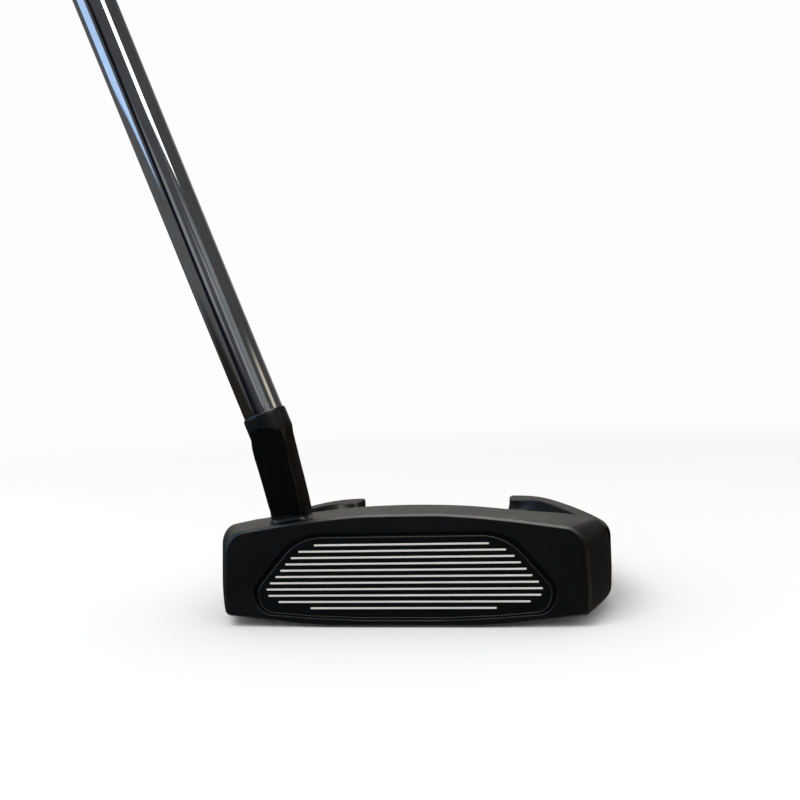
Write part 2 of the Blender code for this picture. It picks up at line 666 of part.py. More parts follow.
def build_grip():
    loops = [grip_loop(*row) for row in GRIP] + [bore_loop(s, 0.34) for s in BORE_STATIONS]
    make_object("grip_sleeve", loft(loops, closed=True), MATERIALS["grip"])

    loops = [bore_loop(s, 0.30) for s in TAPE_STATIONS]
    loops += [bore_loop(s, 0.05) for s in reversed(TAPE_STATIONS)]
    make_object("grip_tape", loft(loops, closed=True), MATERIALS["tape"])

    loops = [bore_loop(*row) for row in CAP_PLUG] + [grip_loop(*row) for row in CAP]
    cap = make_object("grip_end_cap", loft(loops), MATERIALS["cap"])
    cut(cap, "cut_vent", turned([(1.0, 840), (1.0, 880)], AXIS_GROUND, UP, 10))


# ---------------------------------------------------------------- the club
def parent_all():
    """Puts every object under one empty at the leading edge."""
    objects = list(bpy.context.scene.collection.objects)
    root = bpy.data.objects.new("club", None)
    root.location = (0, -ORIGIN_Y * MM, 0)
    bpy.context.scene.collection.objects.link(root)
    for child in objects:
        child.parent = root


for old in list(bpy.data.objects):
    bpy.data.objects.remove(old, do_unlink=True)
MATERIALS = make_materials()
build_body()
build_insert()
build_damper()
build_sole_plate()
build_sight_line()
build_screws()
for wing_side, wing_label in SIDES:
    build_wing(wing_side, wing_label)
    build_weight(wing_side, wing_label)
build_neck()
build_shaft()
build_grip()
parent_all()
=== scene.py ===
"""A mallet putter: head with two rear wings, face insert, sole weights, slant neck, shaft and grip.

Lengths are in millimetres until a mesh is made. x runs from heel (-) to toe (+), y from the
face's leading edge (0) backwards, z upwards from the ground. The camera looks from -y.
"""
import math

import bmesh
import bpy
from mathutils import Matrix, Vector


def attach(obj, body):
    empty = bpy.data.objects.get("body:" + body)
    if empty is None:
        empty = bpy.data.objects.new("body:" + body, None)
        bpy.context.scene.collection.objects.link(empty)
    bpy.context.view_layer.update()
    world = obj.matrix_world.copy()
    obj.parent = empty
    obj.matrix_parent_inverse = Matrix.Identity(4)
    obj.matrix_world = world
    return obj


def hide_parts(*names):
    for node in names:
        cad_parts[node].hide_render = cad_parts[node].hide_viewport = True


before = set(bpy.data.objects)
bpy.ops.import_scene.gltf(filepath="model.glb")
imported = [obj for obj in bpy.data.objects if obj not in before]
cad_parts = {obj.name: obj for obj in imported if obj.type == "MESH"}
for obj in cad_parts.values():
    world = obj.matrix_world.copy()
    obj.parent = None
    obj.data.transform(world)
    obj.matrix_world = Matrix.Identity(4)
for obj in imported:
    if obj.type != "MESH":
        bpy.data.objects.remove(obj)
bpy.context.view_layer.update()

# ---------------------------------------------------------------- shared dimensions
MM = 0.001
ORIGIN_Y = 39.0                    # the frame's origin lies this far behind the leading edge
LOFT = math.radians(3.0)           # lean of the face
LIE = math.radians(69.5)           # angle of the shaft to the ground
SHAFT_GROUND = (-11.63, -1.5, 0.0)  # where the shaft's axis meets the ground
SHAFT_UP = Vector((-math.cos(LIE), 0, math.sin(LIE)))
SHAFT_TOE = Vector((math.sin(LIE), 0, math.cos(LIE)))  # square to the shaft, towards the toe
SHAFT_BACK = Vector((0, 1, 0))
Z_AXIS = (0, 0, 1)
BAR_DEPTH = 16.0                   # the full-height bar behind the face
PARTING_Y = 21.0                   # where the wings start
BRIDGE_FRONT_Z = 17.7              # the lower bridge behind the bar slopes down to its back end
BRIDGE_BACK_Y, BRIDGE_BACK_Z = 70, 15.3
SHARP_ANGLE = 32.0                 # degrees; steeper edges are shaded sharp

# top line of the bar at the face and at its back: x, z
TOP_AT_FACE = ((0, 26.1), (8, 26.05), (16, 25.55), (24, 24.7), (30, 23.9), (36, 23.05),
               (40, 22.45), (43, 21.9), (50, 20.6))
TOP_AT_BAR = ((0, 26.2), (8, 26.05), (16, 25.6), (24, 24.75), (30, 24.1), (36, 23.6),
              (40, 23.15), (44, 22.5), (46, 22.1), (50, 21.0))
# underside: x, z
SOLE = ((0, 0), (17, 0), (20, 0.15), (25, 0.5), (31, 1.2), (36, 1.8), (40, 2.3), (43, 2.65),
        (46, 2.85), (49, 3.05), (52, 3.4), (60, 5.0))
# plan of the head: y, half width
HALF_WIDTH = ((0, 43.15), (0.6, 43.35), (4, 44.7), (8, 46.15), (12, 47.5), (16, 48.55),
              (20, 49.25), (24, 49.6), (30, 49.5), (36, 48.5), (66, 40.0))
# toe half of the insert and of its pocket: x, distance up the face, corner radius
INSERT = ((24.3, 20.95, 12.0), (35.0, 8.6, 3.8), (33.5, 3.4, 4.4), (22.0, 2.45, 14.0),
          (10.0, 1.95, 30.0))
POCKET = ((25.1, 21.8, 12.5), (36.15, 8.9, 4.6), (34.3, 3.1, 5.0), (22.0, 2.15, 14.0),
          (10.0, 1.62, 30.0))
PLATE_HALF, PLATE_FRONT, PLATE_BACK, PLATE_R = 15.9, 18.1, 60.0, 3.8
PLATE_GAP = 0.2
GROOVE_HALF, GROOVE_FRONT, GROOVE_BACK = 0.9, 18.6, 61.4
LINE_GAP = 0.05                    # between the sight line and its groove
WEIGHT = (33.5, 54.0)              # x, y of the toe weight
NECK_SCREW_AT = (-27.6, 9.75)
WING_SCREWS_AT = [(side * x, y) for side in (-1, 1) for x, y in ((40.3, 25.3), (37.8, 32.0))]
PLATE_SCREWS_AT = [(side * 13.2, y) for side in (-1, 1) for y in (22.6, 55.6)]


# ---------------------------------------------------------------- curves and places
def hermite(start, end, start_slope, end_slope, h, t):
    """Cubic from start to end over a step h, at share t of it."""
    return ((2 * t**3 - 3 * t**2 + 1) * start + (t**3 - 2 * t**2 + t) * h * start_slope
            + (3 * t**2 - 2 * t**3) * end + (t**3 - t**2) * h * end_slope)


def read_table(rows, x):
    """Smooth monotone reading of a table of (x, value) rows, the same on both sides of 0."""
    x = abs(x)
    last = len(rows) - 1
    if x <= rows[0][0]:
        return float(rows[0][1])
    if x >= rows[last][0]:
        return float(rows[last][1])

    def slope(k):
        return (rows[k + 1][1] - rows[k][1]) / (rows[k + 1][0] - rows[k][0])

    def tangent(k):
        if k == 0:
            return 0.0
        if k == last:
            return slope(last - 1)
        before, after = slope(k - 1), slope(k)
        return 0.0 if before * after <= 0 else 2 * before * after / (before + after)

    i = max(k for k in range(last) if rows[k][0] <= x)
    h = rows[i + 1][0] - rows[i][0]
    t = (x - rows[i][0]) / h
    return hermite(rows[i][1], rows[i + 1][1], tangent(i), tangent(i + 1), h, t)


def ramp(x, start, end):
    """Smooth step from 0 at start to 1 at end."""
    t = min(1.0, max(0.0, (x - start) / (end - start)))
    return t * t * (3 - 2 * t)


def catmull_rom(points, per_span):
    """Centripetal curve through all points but the first and last, which only steer it."""
    def between(a, b, start, end, at):
        return a * ((end - at) / (end - start)) + b * ((at - start) / (end - start))

    curve = []
    for i in range(1, len(points) - 2):
        level = [Vector(p) for p in points[i - 1:i + 3]]
        knots = [0.0]
        for a, b in zip(level, level[1:]):
            knots.append(knots[-1] + (Vector(b[:2]) - Vector(a[:2])).length ** 0.5)
        for k in range(per_span):
            at = knots[1] + (knots[2] - knots[1]) * k / per_span
            first = [between(level[j], level[j + 1], knots[j], knots[j + 1], at)
                     for j in range(3)]
            second = [between(first[j], first[j + 1], knots[j], knots[j + 2], at)
                      for j in range(2)]
            curve.append(tuple(between(*second, knots[1], knots[2], at)))
    return curve


def on_axis(s):
    """The point of the shaft's axis at distance s from the ground."""
    return Vector(SHAFT_GROUND) + SHAFT_UP * s


def upright(x, y, z):
    return (x, y, z)


def side_view(y, z, x):
    """Place for outlines drawn in y and z and drawn out along x."""
    return (x, y, z)


def in_face(x, up, into):
    """A point at a distance up the lofted face and a depth into the head."""
    return (x, up * math.sin(LOFT) + into * math.cos(LOFT),
            up * math.cos(LOFT) - into * math.sin(LOFT))


def bridge_z(y):
    return (BRIDGE_FRONT_Z + (BRIDGE_BACK_Z - BRIDGE_FRONT_Z) * (y - BAR_DEPTH)
            / (BRIDGE_BACK_Y - BAR_DEPTH))


def on_bridge(x, y, z):
    return (x, y, bridge_z(y) + z)


def topline(x, y):
    """Height of the bar's top."""
    share = min(1.0, y / BAR_DEPTH)
    return read_table(TOP_AT_FACE, x) * (1 - share) + read_table(TOP_AT_BAR, x) * share


# ---------------------------------------------------------------- outlines
def grown(outline, growth):
    """An outline (anticlockwise or clockwise) pushed outwards."""
    if not growth:
        return list(outline)
    n = len(outline)
    area = sum(outline[i][0] * outline[(i + 1) % n][1] - outline[(i + 1) % n][0] * outline[i][1]
               for i in range(n))
    way = 1 if area > 0 else -1
    out = []
    for i, (x, y) in enumerate(outline):
        before, after = Vector(outline[i - 1]), Vector(outline[(i + 1) % n])
        point = Vector((x, y))
        arriving, leaving = (point - before), (after - point)
        if arriving.length < 1e-6 or leaving.length < 1e-6:
            along = (after - before).normalized()
            out.append((x + along.y * growth * way, y - along.x * growth * way))
            continue
        arriving, leaving = arriving.normalized(), leaving.normalized()
        normal = Vector((arriving.y, -arriving.x))
        mitre = normal + Vector((leaving.y, -leaving.x))
        if mitre.length < 1e-6:
            out.append((x, y))
            continue
        mitre = mitre.normalized()
        k = growth * way / max(0.35, mitre.dot(normal))
        out.append((x + mitre.x * k, y + mitre.y * k))
    return out


def rounded(points, steps):
    """An outline of (x, y, corner radius) points with its corners rounded."""
    out = []
    for i, (x, y, radius) in enumerate(points):
        if radius <= 0:
            out.append((x, y))
            continue
        corner = Vector((x, y))
        before, after = Vector(points[i - 1][:2]), Vector(points[(i + 1) % len(points)][:2])
        back, ahead = (before - corner).normalized(), (after - corner).normalized()
        half = math.acos(max(-1, min(1, back.dot(ahead)))) / 2
        trim = min(radius / math.tan(half), 0.49 * (before - corner).length,
                   0.49 * (after - corner).length)
        radius = trim * math.tan(half)
        centre = corner + (back + ahead).normalized() * (radius / math.sin(half))
        start, end = corner + back * trim - centre, corner + ahead * trim - centre
        total = math.atan2(start.x * end.y - start.y * end.x, start.dot(end))
        for k in range(steps + 1):
            turn = total * k / steps
            cos, sin = math.cos(turn), math.sin(turn)
            out.append((centre.x + start.x * cos - start.y * sin,
                        centre.y + start.x * sin + start.y * cos))
    return out


def rounded_rect(half_width, low, high, radius, steps):
    """A rounded rectangle centred across on 0."""
    return rounded([(-half_width, low, radius), (half_width, low, radius),
                    (half_width, high, radius), (-half_width, high, radius)], steps)


def mirrored(half):
    return list(half) + [(-x, y, radius) for x, y, radius in reversed(half)]


def spaced(outline, step):
    """The same outline with points no further apart than step."""
    out = []
    for i, p in enumerate(outline):
        start, end = Vector(p), Vector(outline[(i + 1) % len(outline)])
        count = max(1, math.ceil((end - start).length / step))
        out += [tuple(start.lerp(end, j / count)) for j in range(count)]
    return out


# ---------------------------------------------------------------- shapes: (vertices, faces)
def loft(loops, closed=False):
    """A skin over equal loops, with end faces unless it closes on itself."""
    n = len(loops[0])
    verts = [p for loop in loops for p in loop]
    faces = []
    for i in range(len(loops) if closed else len(loops) - 1):
        a, b = i * n, ((i + 1) % len(loops)) * n
        for k in range(n):
            j = (k + 1) % n
            faces.append((a + k, a + j, b + j, b + k))
    if not closed:
        faces.append(tuple(reversed(range(n))))
        faces.append(tuple(range((len(loops) - 1) * n, len(loops) * n)))
    return verts, faces


def ring(centre, axis, radius, sides, start=None):
    """A circle of points around an axis; start is the direction of its first point."""
    axis = Vector(axis).normalized()
    if start is None:
        start = (1, 0, 0) if abs(axis.x) < 0.9 else (0, 1, 0)
    u = Vector(start)
    u = (u - axis * u.dot(axis)).normalized()
    v = axis.cross(u)
    centre = Vector(centre)
    return [tuple(centre + u * (radius * math.cos(2 * math.pi * k / sides))
                  + v * (radius * math.sin(2 * math.pi * k / sides))) for k in range(sides)]


def turned(profile, base, axis, sides, start=None, closed=False):
    """A profile of (radius, distance along the axis) turned around the axis."""
    base, axis = Vector(base), Vector(axis).normalized()
    return loft([ring(base + axis * s, axis, r, sides, start) for r, s in profile], closed)


def turned_upright(profile, place, sides):
    """A profile of (radius, z) turned around the upright through place."""
    return turned(profile, (place[0], place[1], 0), Z_AXIS, sides)


def prism(outline, low, high, place=upright):
    return loft([[place(x, y, z) for x, y in outline] for z in (low, high)])


def layer_loops(outline, rows, place=upright):
    """The outline at each (height, growth) row."""
    return [[place(x, y, z) for x, y in grown(outline, growth)] for z, growth in rows]


def layers(outline, rows, place=upright):
    """An outline lofted through (height, growth) rows, for chamfers and rounded edges."""
    return loft(layer_loops(outline, rows, place))


def box(x0, x1, y0, y1, z0, z1):
    return prism([(x0, y0), (x1, y0), (x1, y1), (x0, y1)], z0, z1)


def join(*shapes):
    verts, faces = [], []
    for shape_verts, shape_faces in shapes:
        base = len(verts)
        verts += list(shape_verts)
        faces += [tuple(i + base for i in face) for face in shape_faces]
    return verts, faces


def on_side(shape, side):
    """A toe-side shape, mirrored to the heel where side is -1."""
    return ([(side * x, y, z) for x, y, z in shape[0]], shape[1])


# ---------------------------------------------------------------- objects
def shade(mesh, sharp):
    mesh.shade_smooth()
    mesh.set_sharp_from_angle(angle=math.radians(sharp))


def mesh_object(name, shape, mat=None, sharp=SHARP_ANGLE):
    verts, faces = shape
    mesh = bpy.data.meshes.new(name)
    mesh.from_pydata([(v[0] * MM, (v[1] - ORIGIN_Y) * MM, v[2] * MM) for v in verts], [], faces)
    bm = bmesh.new()
    bm.from_mesh(mesh)
    bmesh.ops.recalc_face_normals(bm, faces=bm.faces)
    if bm.calc_volume(signed=True) < 0:
        bmesh.ops.reverse_faces(bm, faces=bm.faces)
    bm.to_mesh(mesh)
    bm.free()
    part = bpy.data.objects.new(name, mesh)
    bpy.context.scene.collection.objects.link(part)
    if mat is not None:
        mesh.materials.append(mat)
    shade(mesh, sharp)
    return part


def boolean(part, shape, operation, sharp=SHARP_ANGLE):
    """Combines a shape with part and keeps the result as part's own mesh."""
    tool = mesh_object("tool", shape)
    modifier = part.modifiers.new("tool", "BOOLEAN")
    modifier.operation, modifier.object, modifier.solver = operation, tool, "EXACT"
    bpy.context.view_layer.update()
    evaluated = part.evaluated_get(bpy.context.evaluated_depsgraph_get())
    made = bpy.data.meshes.new_from_object(evaluated)
    old = part.data
    part.modifiers.clear()
    part.data = made
    made.name = part.name
    bpy.data.meshes.remove(old)
    bpy.data.objects.remove(tool, do_unlink=True)
    shade(made, sharp)


def cut(part, shape, sharp=SHARP_ANGLE):
    boolean(part, shape, "DIFFERENCE", sharp)


def merge(part, other):
    """Joins another object's body into part and drops it."""
    shape = ([(v.co.x / MM, v.co.y / MM + ORIGIN_Y, v.co.z / MM) for v in other.data.vertices],
             [tuple(p.vertices) for p in other.data.polygons])
    bpy.data.objects.remove(other, do_unlink=True)
    boolean(part, shape, "UNION")


def show(part, node, body="club", weighted=True, replaces=True):
    """Gives a finished part its normals and body, and hides the CAD node it stands in for."""
    if weighted:
        modifier = part.modifiers.new("normals", "WEIGHTED_NORMAL")
        modifier.mode, modifier.keep_sharp, modifier.weight = "FACE_AREA", True, 60
    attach(part, body)
    if replaces:
        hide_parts(node)


# ---------------------------------------------------------------- material helpers
class Nodes:
    """Short calls for building a node tree."""

    def __init__(self, tree):
        self.tree = tree

    def add(self, kind, **values):
        node = self.tree.nodes.new(kind)
        for key, value in values.items():
            setattr(node, key, value)
        return node

    def link(self, output, socket):
        self.tree.links.new(output, socket)

    def put(self, socket, value):
        if hasattr(value, "is_output"):
            self.link(value, socket)
        else:
            socket.default_value = value

    def math(self, operation, a, b=0.0, c=0.0):
        node = self.add("ShaderNodeMath", operation=operation)
        for socket, value in zip(node.inputs, (a, b, c)):
            self.put(socket, value)
        return node.outputs[0]

    def times(self, a, b):
        return self.math("MULTIPLY", a, b)

    def split(self, vector):
        """The x, y and z outputs of a vector."""
        node = self.add("ShaderNodeSeparateXYZ")
        self.link(vector, node.inputs[0])
        return node.outputs

    def noise(self, where, scale, detail=2.0, rough=0.5):
        node = self.add("ShaderNodeTexNoise")
        self.link(where, node.inputs["Vector"])
        node.inputs["Scale"].default_value = scale
        node.inputs["Detail"].default_value = detail
        node.inputs["Roughness"].default_value = rough
        return node.outputs["Fac"]

    def remap(self, value, span, to=(0, 1), smooth=False):
        """Maps span onto to, clamped."""
        node = self.add("ShaderNodeMapRange")
        if smooth:
            node.interpolation_type = "SMOOTHSTEP"
        self.link(value, node.inputs["Value"])
        for key, number in zip(("From Min", "From Max", "To Min", "To Max"), (*span, *to)):
            node.inputs[key].default_value = number
        return node.outputs["Result"]

    def mix(self, fac, a, b):
        node = self.add("ShaderNodeMix", data_type="RGBA")
        self.put(node.inputs[0], fac)
        for socket, value in ((node.inputs[6], a), (node.inputs[7], b)):
            is_rgb = isinstance(value, tuple) and len(value) == 3
            self.put(socket, (*value, 1) if is_rgb else value)
        return node.outputs[2]

    def stretch(self, where, scale):
        node = self.add("ShaderNodeMapping")
        self.link(where, node.inputs["Vector"])
        node.inputs["Scale"].default_value = scale
        return node.outputs["Vector"]

    def bevel(self, radius):
        """A normal that rounds edges by a radius in millimetres."""
        node = self.add("ShaderNodeBevel", samples=4)
        node.inputs["Radius"].default_value = radius * MM
        return node.outputs[0]

    def bump(self, height, strength, distance, normal=None):
        node = self.add("ShaderNodeBump")
        node.inputs["Strength"].default_value = strength
        node.inputs["Distance"].default_value = distance
        self.link(height, node.inputs["Height"])
        if normal is not None:
            self.link(normal, node.inputs["Normal"])
        return node.outputs["Normal"]


def material(name):
    """A new material with its shader, its node helper and its object coordinates."""
    made = bpy.data.materials.new(name)
    made.use_nodes = True
    shader = made.node_tree.nodes["Principled BSDF"]
    nodes = Nodes(made.node_tree)
    where = nodes.add("ShaderNodeTexCoord").outputs["Object"]
    return made, shader, nodes, where


def scaled(colour, factor):
    return tuple(c * factor for c in colour)


def coat(name, colour, rough, spec=0.5, edge=0.22, grain=0.5, edge_wear_and_sheen=0.6,
         brushed=None, brushed_depth=2e-6, dust=0.5):
    """Satin black finish: blasted grain, uneven gloss, softened and polished edges lightened by
    wear and a painted highlight, dust, and faces that look down painted lighter, partly scuffing
    and partly painted fill light.
    """
    made, shader, nodes, where = material(name)
    cloudy = nodes.noise(where, scale=70, detail=3, rough=0.6)
    fine = nodes.noise(where, scale=900, detail=3, rough=0.6)
    bevel = nodes.bevel(edge)
    # edges show where the rounded normal leaves the true one
    geometry = nodes.add("ShaderNodeNewGeometry")
    dot = nodes.add("ShaderNodeVectorMath", operation="DOT_PRODUCT")
    nodes.link(bevel, dot.inputs[0])
    nodes.link(geometry.outputs["Normal"], dot.inputs[1])
    edges = nodes.remap(dot.outputs["Value"], span=(0.995, 0.82))
    edges = nodes.times(edges, nodes.remap(nodes.noise(where, scale=260), span=(0.35, 0.7),
                                           to=(0.25, 1.0)))
    # edges get a lighter colour: partly edge wear, partly a painted highlight along the rounded
    # edges
    edge_wear_and_highlight_colour = tuple(min(1.0, c * 2.2 + 0.03 * edge_wear_and_sheen) for c in colour)
    base = nodes.mix(nodes.remap(cloudy, span=(0.35, 0.65)),
                     scaled(colour, 0.82), scaled(colour, 1.22))
    base = nodes.mix(nodes.times(edges, edge_wear_and_sheen), base, edge_wear_and_highlight_colour)
    # dust specks, in patches
    speck = nodes.noise(nodes.stretch(where, scale=(1, 1, 1)), scale=1500, detail=1, rough=0.4)
    speck = nodes.remap(speck, span=(0.735, 0.76))
    patch = nodes.remap(nodes.noise(where, scale=45), span=(0.5, 0.7))
    speck = nodes.times(nodes.times(speck, patch), dust)
    dust_colour = (0.11, 0.105, 0.095)
    base = nodes.mix(speck, base, dust_colour)
    # faces that look down get a lighter colour, partly a scuffed sole and partly painted fill light
    # for the dark underside, with scuffs from front to back
    facing = nodes.split(geometry.outputs["Normal"])
    underside_lift_and_scuff_mask = nodes.remap(facing[2], span=(-0.75, -0.97), smooth=True)
    scuff = nodes.noise(nodes.stretch(where, scale=(420, 40, 420)), scale=1.0, detail=4, rough=0.7)
    sole_scuff_and_painted_fill_colour, scuff_colour = (0.014, 0.014, 0.0145), (0.05, 0.05, 0.05)
    underside_scuffs_and_painted_fill = nodes.mix(nodes.remap(scuff, span=(0.56, 0.74)), sole_scuff_and_painted_fill_colour, scuff_colour)
    base = nodes.mix(underside_lift_and_scuff_mask, base, underside_scuffs_and_painted_fill)
    nodes.link(base, shader.inputs["Base Color"])
    gloss = nodes.math("ADD",
                       nodes.remap(cloudy, span=(0.3, 0.7), to=(rough - 0.035, rough + 0.035)),
                       nodes.remap(fine, span=(0.3, 0.7), to=(-0.03, 0.03)))
    edge_polish, smoothest = 0.07 * edge_wear_and_sheen, 0.08
    gloss = nodes.math("SUBTRACT", gloss, nodes.times(edges, edge_polish))
    nodes.link(nodes.math("MAXIMUM", gloss, smoothest), shader.inputs["Roughness"])
    shader.inputs["Specular IOR Level"].default_value = spec
    normal = bevel
    if brushed is not None:
        lines = nodes.noise(nodes.stretch(where, brushed), scale=1.0, detail=3, rough=0.65)
        normal = nodes.bump(lines, strength=1.0, distance=brushed_depth, normal=normal)
    grain_noise = nodes.noise(where, scale=2600.0, detail=2, rough=0.55)
    normal = nodes.bump(grain_noise, strength=grain, distance=4e-6, normal=normal)
    nodes.link(normal, shader.inputs["Normal"])
    return made


def metal(name, colour, rough, brushed=None, depth=2e-6, edge=0.15, tarnish=0.12,
          metallic=1.0, around=None):
    """Bare metal with brushing marks, or turning marks around a place, and small stains."""
    made, shader, nodes, where = material(name)
    normal = nodes.bevel(edge)
    cloudy = nodes.noise(where, scale=120, detail=4, rough=0.65)
    base = nodes.mix(nodes.remap(cloudy, span=(0.35, 0.68)), scaled(colour, 1 - tarnish), colour)
    nodes.link(base, shader.inputs["Base Color"])
    shader.inputs["Metallic"].default_value = metallic
    nodes.link(nodes.remap(nodes.noise(where, scale=700, detail=3), span=(0.3, 0.7),
                           to=(rough * 0.8, rough * 1.25)), shader.inputs["Roughness"])
    if around is not None:
        rings_per_metre = 6500.0
        x, y, _ = nodes.split(where)
        dx = nodes.math("SUBTRACT", x, around[0])
        dy = nodes.math("SUBTRACT", y, around[1])
        square = nodes.math("ADD", nodes.times(dx, dx), nodes.times(dy, dy))
        radius = nodes.math("SQRT", square)
        rings = nodes.add("ShaderNodeCombineXYZ")
        nodes.link(nodes.times(radius, rings_per_metre), rings.inputs[0])
        normal = nodes.bump(nodes.noise(rings.outputs[0], scale=1.0),
                            strength=0.8, distance=depth, normal=normal)
    if brushed is not None:
        lines = nodes.noise(nodes.stretch(where, brushed), scale=1.0, detail=3, rough=0.65)
        normal = nodes.bump(lines, strength=1.0, distance=depth, normal=normal)
    nodes.link(normal, shader.inputs["Normal"])
    return made


def soft(name, colour, rough, scale, strength, distance, spec=0.4, vary=0.2, edge=0.15):
    """Rubber, foam, tape, enamel or moulded polymer: grain, uneven colour and roughness."""
    made, shader, nodes, where = material(name)
    bevel = nodes.bevel(edge)
    cloudy = nodes.noise(where, scale=90, detail=3, rough=0.6)
    nodes.link(nodes.mix(cloudy, scaled(colour, 1 - vary), scaled(colour, 1 + vary)),
               shader.inputs["Base Color"])
    nodes.link(nodes.remap(nodes.noise(where, scale=500, detail=3), span=(0.3, 0.7),
                           to=(rough - 0.05, rough + 0.05)), shader.inputs["Roughness"])
    shader.inputs["Specular IOR Level"].default_value = spec
    grain = nodes.noise(where, scale=scale, detail=3, rough=0.6)
    nodes.link(nodes.bump(grain, strength, distance, bevel), shader.inputs["Normal"])
    return made


def chrome_material():
    """Dark chrome with haze along the tube and small dull spots."""
    made, shader, nodes, where = material("shaft_black_chrome")
    darker, plain, spot_colour = (0.40, 0.41, 0.43), (0.46, 0.47, 0.49), (0.62, 0.62, 0.62)
    cloudy = nodes.noise(where, scale=60, detail=4, rough=0.6)
    base = nodes.mix(nodes.remap(cloudy, span=(0.4, 0.65)), darker, plain)
    spots = nodes.remap(nodes.noise(where, scale=650, detail=2, rough=0.5), span=(0.75, 0.79))
    spot_tint, spot_dullness = 0.5, 0.25
    base = nodes.mix(nodes.times(spots, spot_tint), base, spot_colour)
    nodes.link(base, shader.inputs["Base Color"])
    shader.inputs["Metallic"].default_value = 1.0
    haze = nodes.noise(nodes.stretch(where, scale=(1, 1, 0.25)), scale=180, detail=4, rough=0.7)
    haze = nodes.remap(haze, span=(0.45, 0.75), to=(0.035, 0.10))
    nodes.link(nodes.math("ADD", haze, nodes.times(spots, spot_dullness)),
               shader.inputs["Roughness"])
    ripple = nodes.noise(nodes.stretch(where, scale=(1, 1, 0.12)), scale=420)
    nodes.link(nodes.bump(ripple, strength=0.6, distance=1.2e-6), shader.inputs["Normal"])
    return made


DIMPLES_AROUND, DIMPLE_STEP = 40, 2.6


def grip_material():
    """Matte rubber with dimples in staggered rows, darkened with painted shade, fading out at both
    ends of the grip.
    """
    made, shader, nodes, where = material("grip_rubber")
    # coordinates turned so that z runs along the shaft
    turned_where = nodes.add("ShaderNodeMapping")
    turned_where.inputs["Rotation"].default_value = (0, math.pi / 2 - LIE, 0)
    nodes.link(where, turned_where.inputs["Vector"])
    x, y, z = nodes.split(turned_where.outputs[0])
    ground = Vector((SHAFT_GROUND[0], SHAFT_GROUND[1] - ORIGIN_Y, 0.0)) * MM
    axis = Matrix.Rotation(math.pi / 2 - LIE, 3, "Y") @ ground
    angle = nodes.math("ARCTAN2", nodes.math("SUBTRACT", y, axis.y),
                       nodes.math("SUBTRACT", x, axis.x))
    column = nodes.times(nodes.math("ADD", angle, math.pi), DIMPLES_AROUND / (2 * math.pi))
    # every other column is moved by half a step
    stagger = nodes.times(nodes.math("MODULO", nodes.math("FLOOR", column), 2.0), 0.5)
    row = nodes.math("ADD", nodes.times(z, 1.0 / (DIMPLE_STEP * MM)), stagger)
    across = nodes.math("SUBTRACT", nodes.math("FRACT", column), 0.5)
    along = nodes.math("SUBTRACT", nodes.math("FRACT", row), 0.5)
    apart = nodes.math("SQRT", nodes.math("ADD", nodes.times(across, across),
                                          nodes.times(along, along)))
    ends = nodes.times(nodes.remap(z, span=(0.604, 0.618), smooth=True),
                       nodes.remap(z, span=(0.832, 0.842), to=(1, 0), smooth=True))
    dimple = nodes.times(nodes.remap(apart, span=(0.16, 0.32), to=(1.0, 0.0), smooth=True), ends)
    cloudy = nodes.noise(where, scale=60, detail=3, rough=0.6)
    # the dimples are darkened in colour: painted shade in the hollows
    dark, light, dimple_painted_shade_colour = (0.011, 0.011, 0.0115), (0.018, 0.018, 0.019), (0.006,) * 3
    dimple_shade_tint, grain = 0.55, 0.25
    base = nodes.mix(nodes.remap(cloudy, span=(0.3, 0.7)), dark, light)
    base = nodes.mix(nodes.times(dimple, dimple_shade_tint), base, dimple_painted_shade_colour)
    nodes.link(base, shader.inputs["Base Color"])
    nodes.link(nodes.remap(nodes.noise(where, scale=800, detail=3), span=(0.3, 0.7),
                           to=(0.66, 0.82)), shader.inputs["Roughness"])
    shader.inputs["Specular IOR Level"].default_value = 0.35
    height = nodes.math("SUBTRACT", nodes.times(nodes.noise(where, scale=3500), grain), dimple)
    nodes.link(nodes.bump(height, strength=0.7, distance=1.1e-4), shader.inputs["Normal"])
    return made


BODY_BLACK = coat("head_satin_black", colour=(0.0015, 0.0015, 0.0016), rough=0.40, spec=0.5,
                  brushed=(160, 2400, 2400), brushed_depth=2.0e-6, dust=0.1)
WING_BLACK = coat("wing_satin_black", colour=(0.0024, 0.0024, 0.0024), rough=0.42, spec=0.26,
                  grain=0.35, dust=0.1)
NECK_BLACK = coat("neck_satin_black", colour=(0.0012, 0.0012, 0.0012), rough=0.38, spec=0.5,
                  grain=0.35, edge_wear_and_sheen=0.4, dust=0.0)
PLATE_SATIN = coat("sole_plate_satin", colour=(0.010, 0.010, 0.0105), rough=0.34,
                   brushed=(300, 6000, 6000), brushed_depth=4e-6)
INSERT_POLYMER = soft("insert_black_polymer", colour=(0.0010, 0.0010, 0.0012), rough=0.5,
                      scale=1800, strength=0.5, distance=6e-6, spec=0.25)
# the bead is lighter than the insert: partly edge wear, partly a painted sheen
LIP_POLYMER = coat("insert_lip_polymer", colour=(0.012, 0.012, 0.013), rough=0.30, spec=0.7,
                   edge=0.1, edge_wear_and_sheen=0.4, dust=0.0)
BEAM_ALUMINIUM = metal("beam_bright_aluminium", colour=(0.80, 0.79, 0.76), rough=0.42,
                       brushed=(250, 9000, 9000), depth=1.5e-6, edge=0.05, tarnish=0.1,
                       metallic=0.25)
SCREW_STEEL = metal("screw_dark_steel", colour=(0.09, 0.09, 0.095), rough=0.3)
SEAL_NITRILE = soft("seal_nitrile", colour=(0.008, 0.008, 0.008), rough=0.55,
                    scale=2500, strength=0.3, distance=4e-6)
PAD_ELASTOMER = soft("damper_elastomer", colour=(0.08, 0.08, 0.09), rough=0.7,
                     scale=1200, strength=0.4, distance=1e-5)
TAPE_FOAM = soft("tape_foam", colour=(0.55, 0.53, 0.48), rough=0.85,
                 scale=1500, strength=0.6, distance=2e-5)
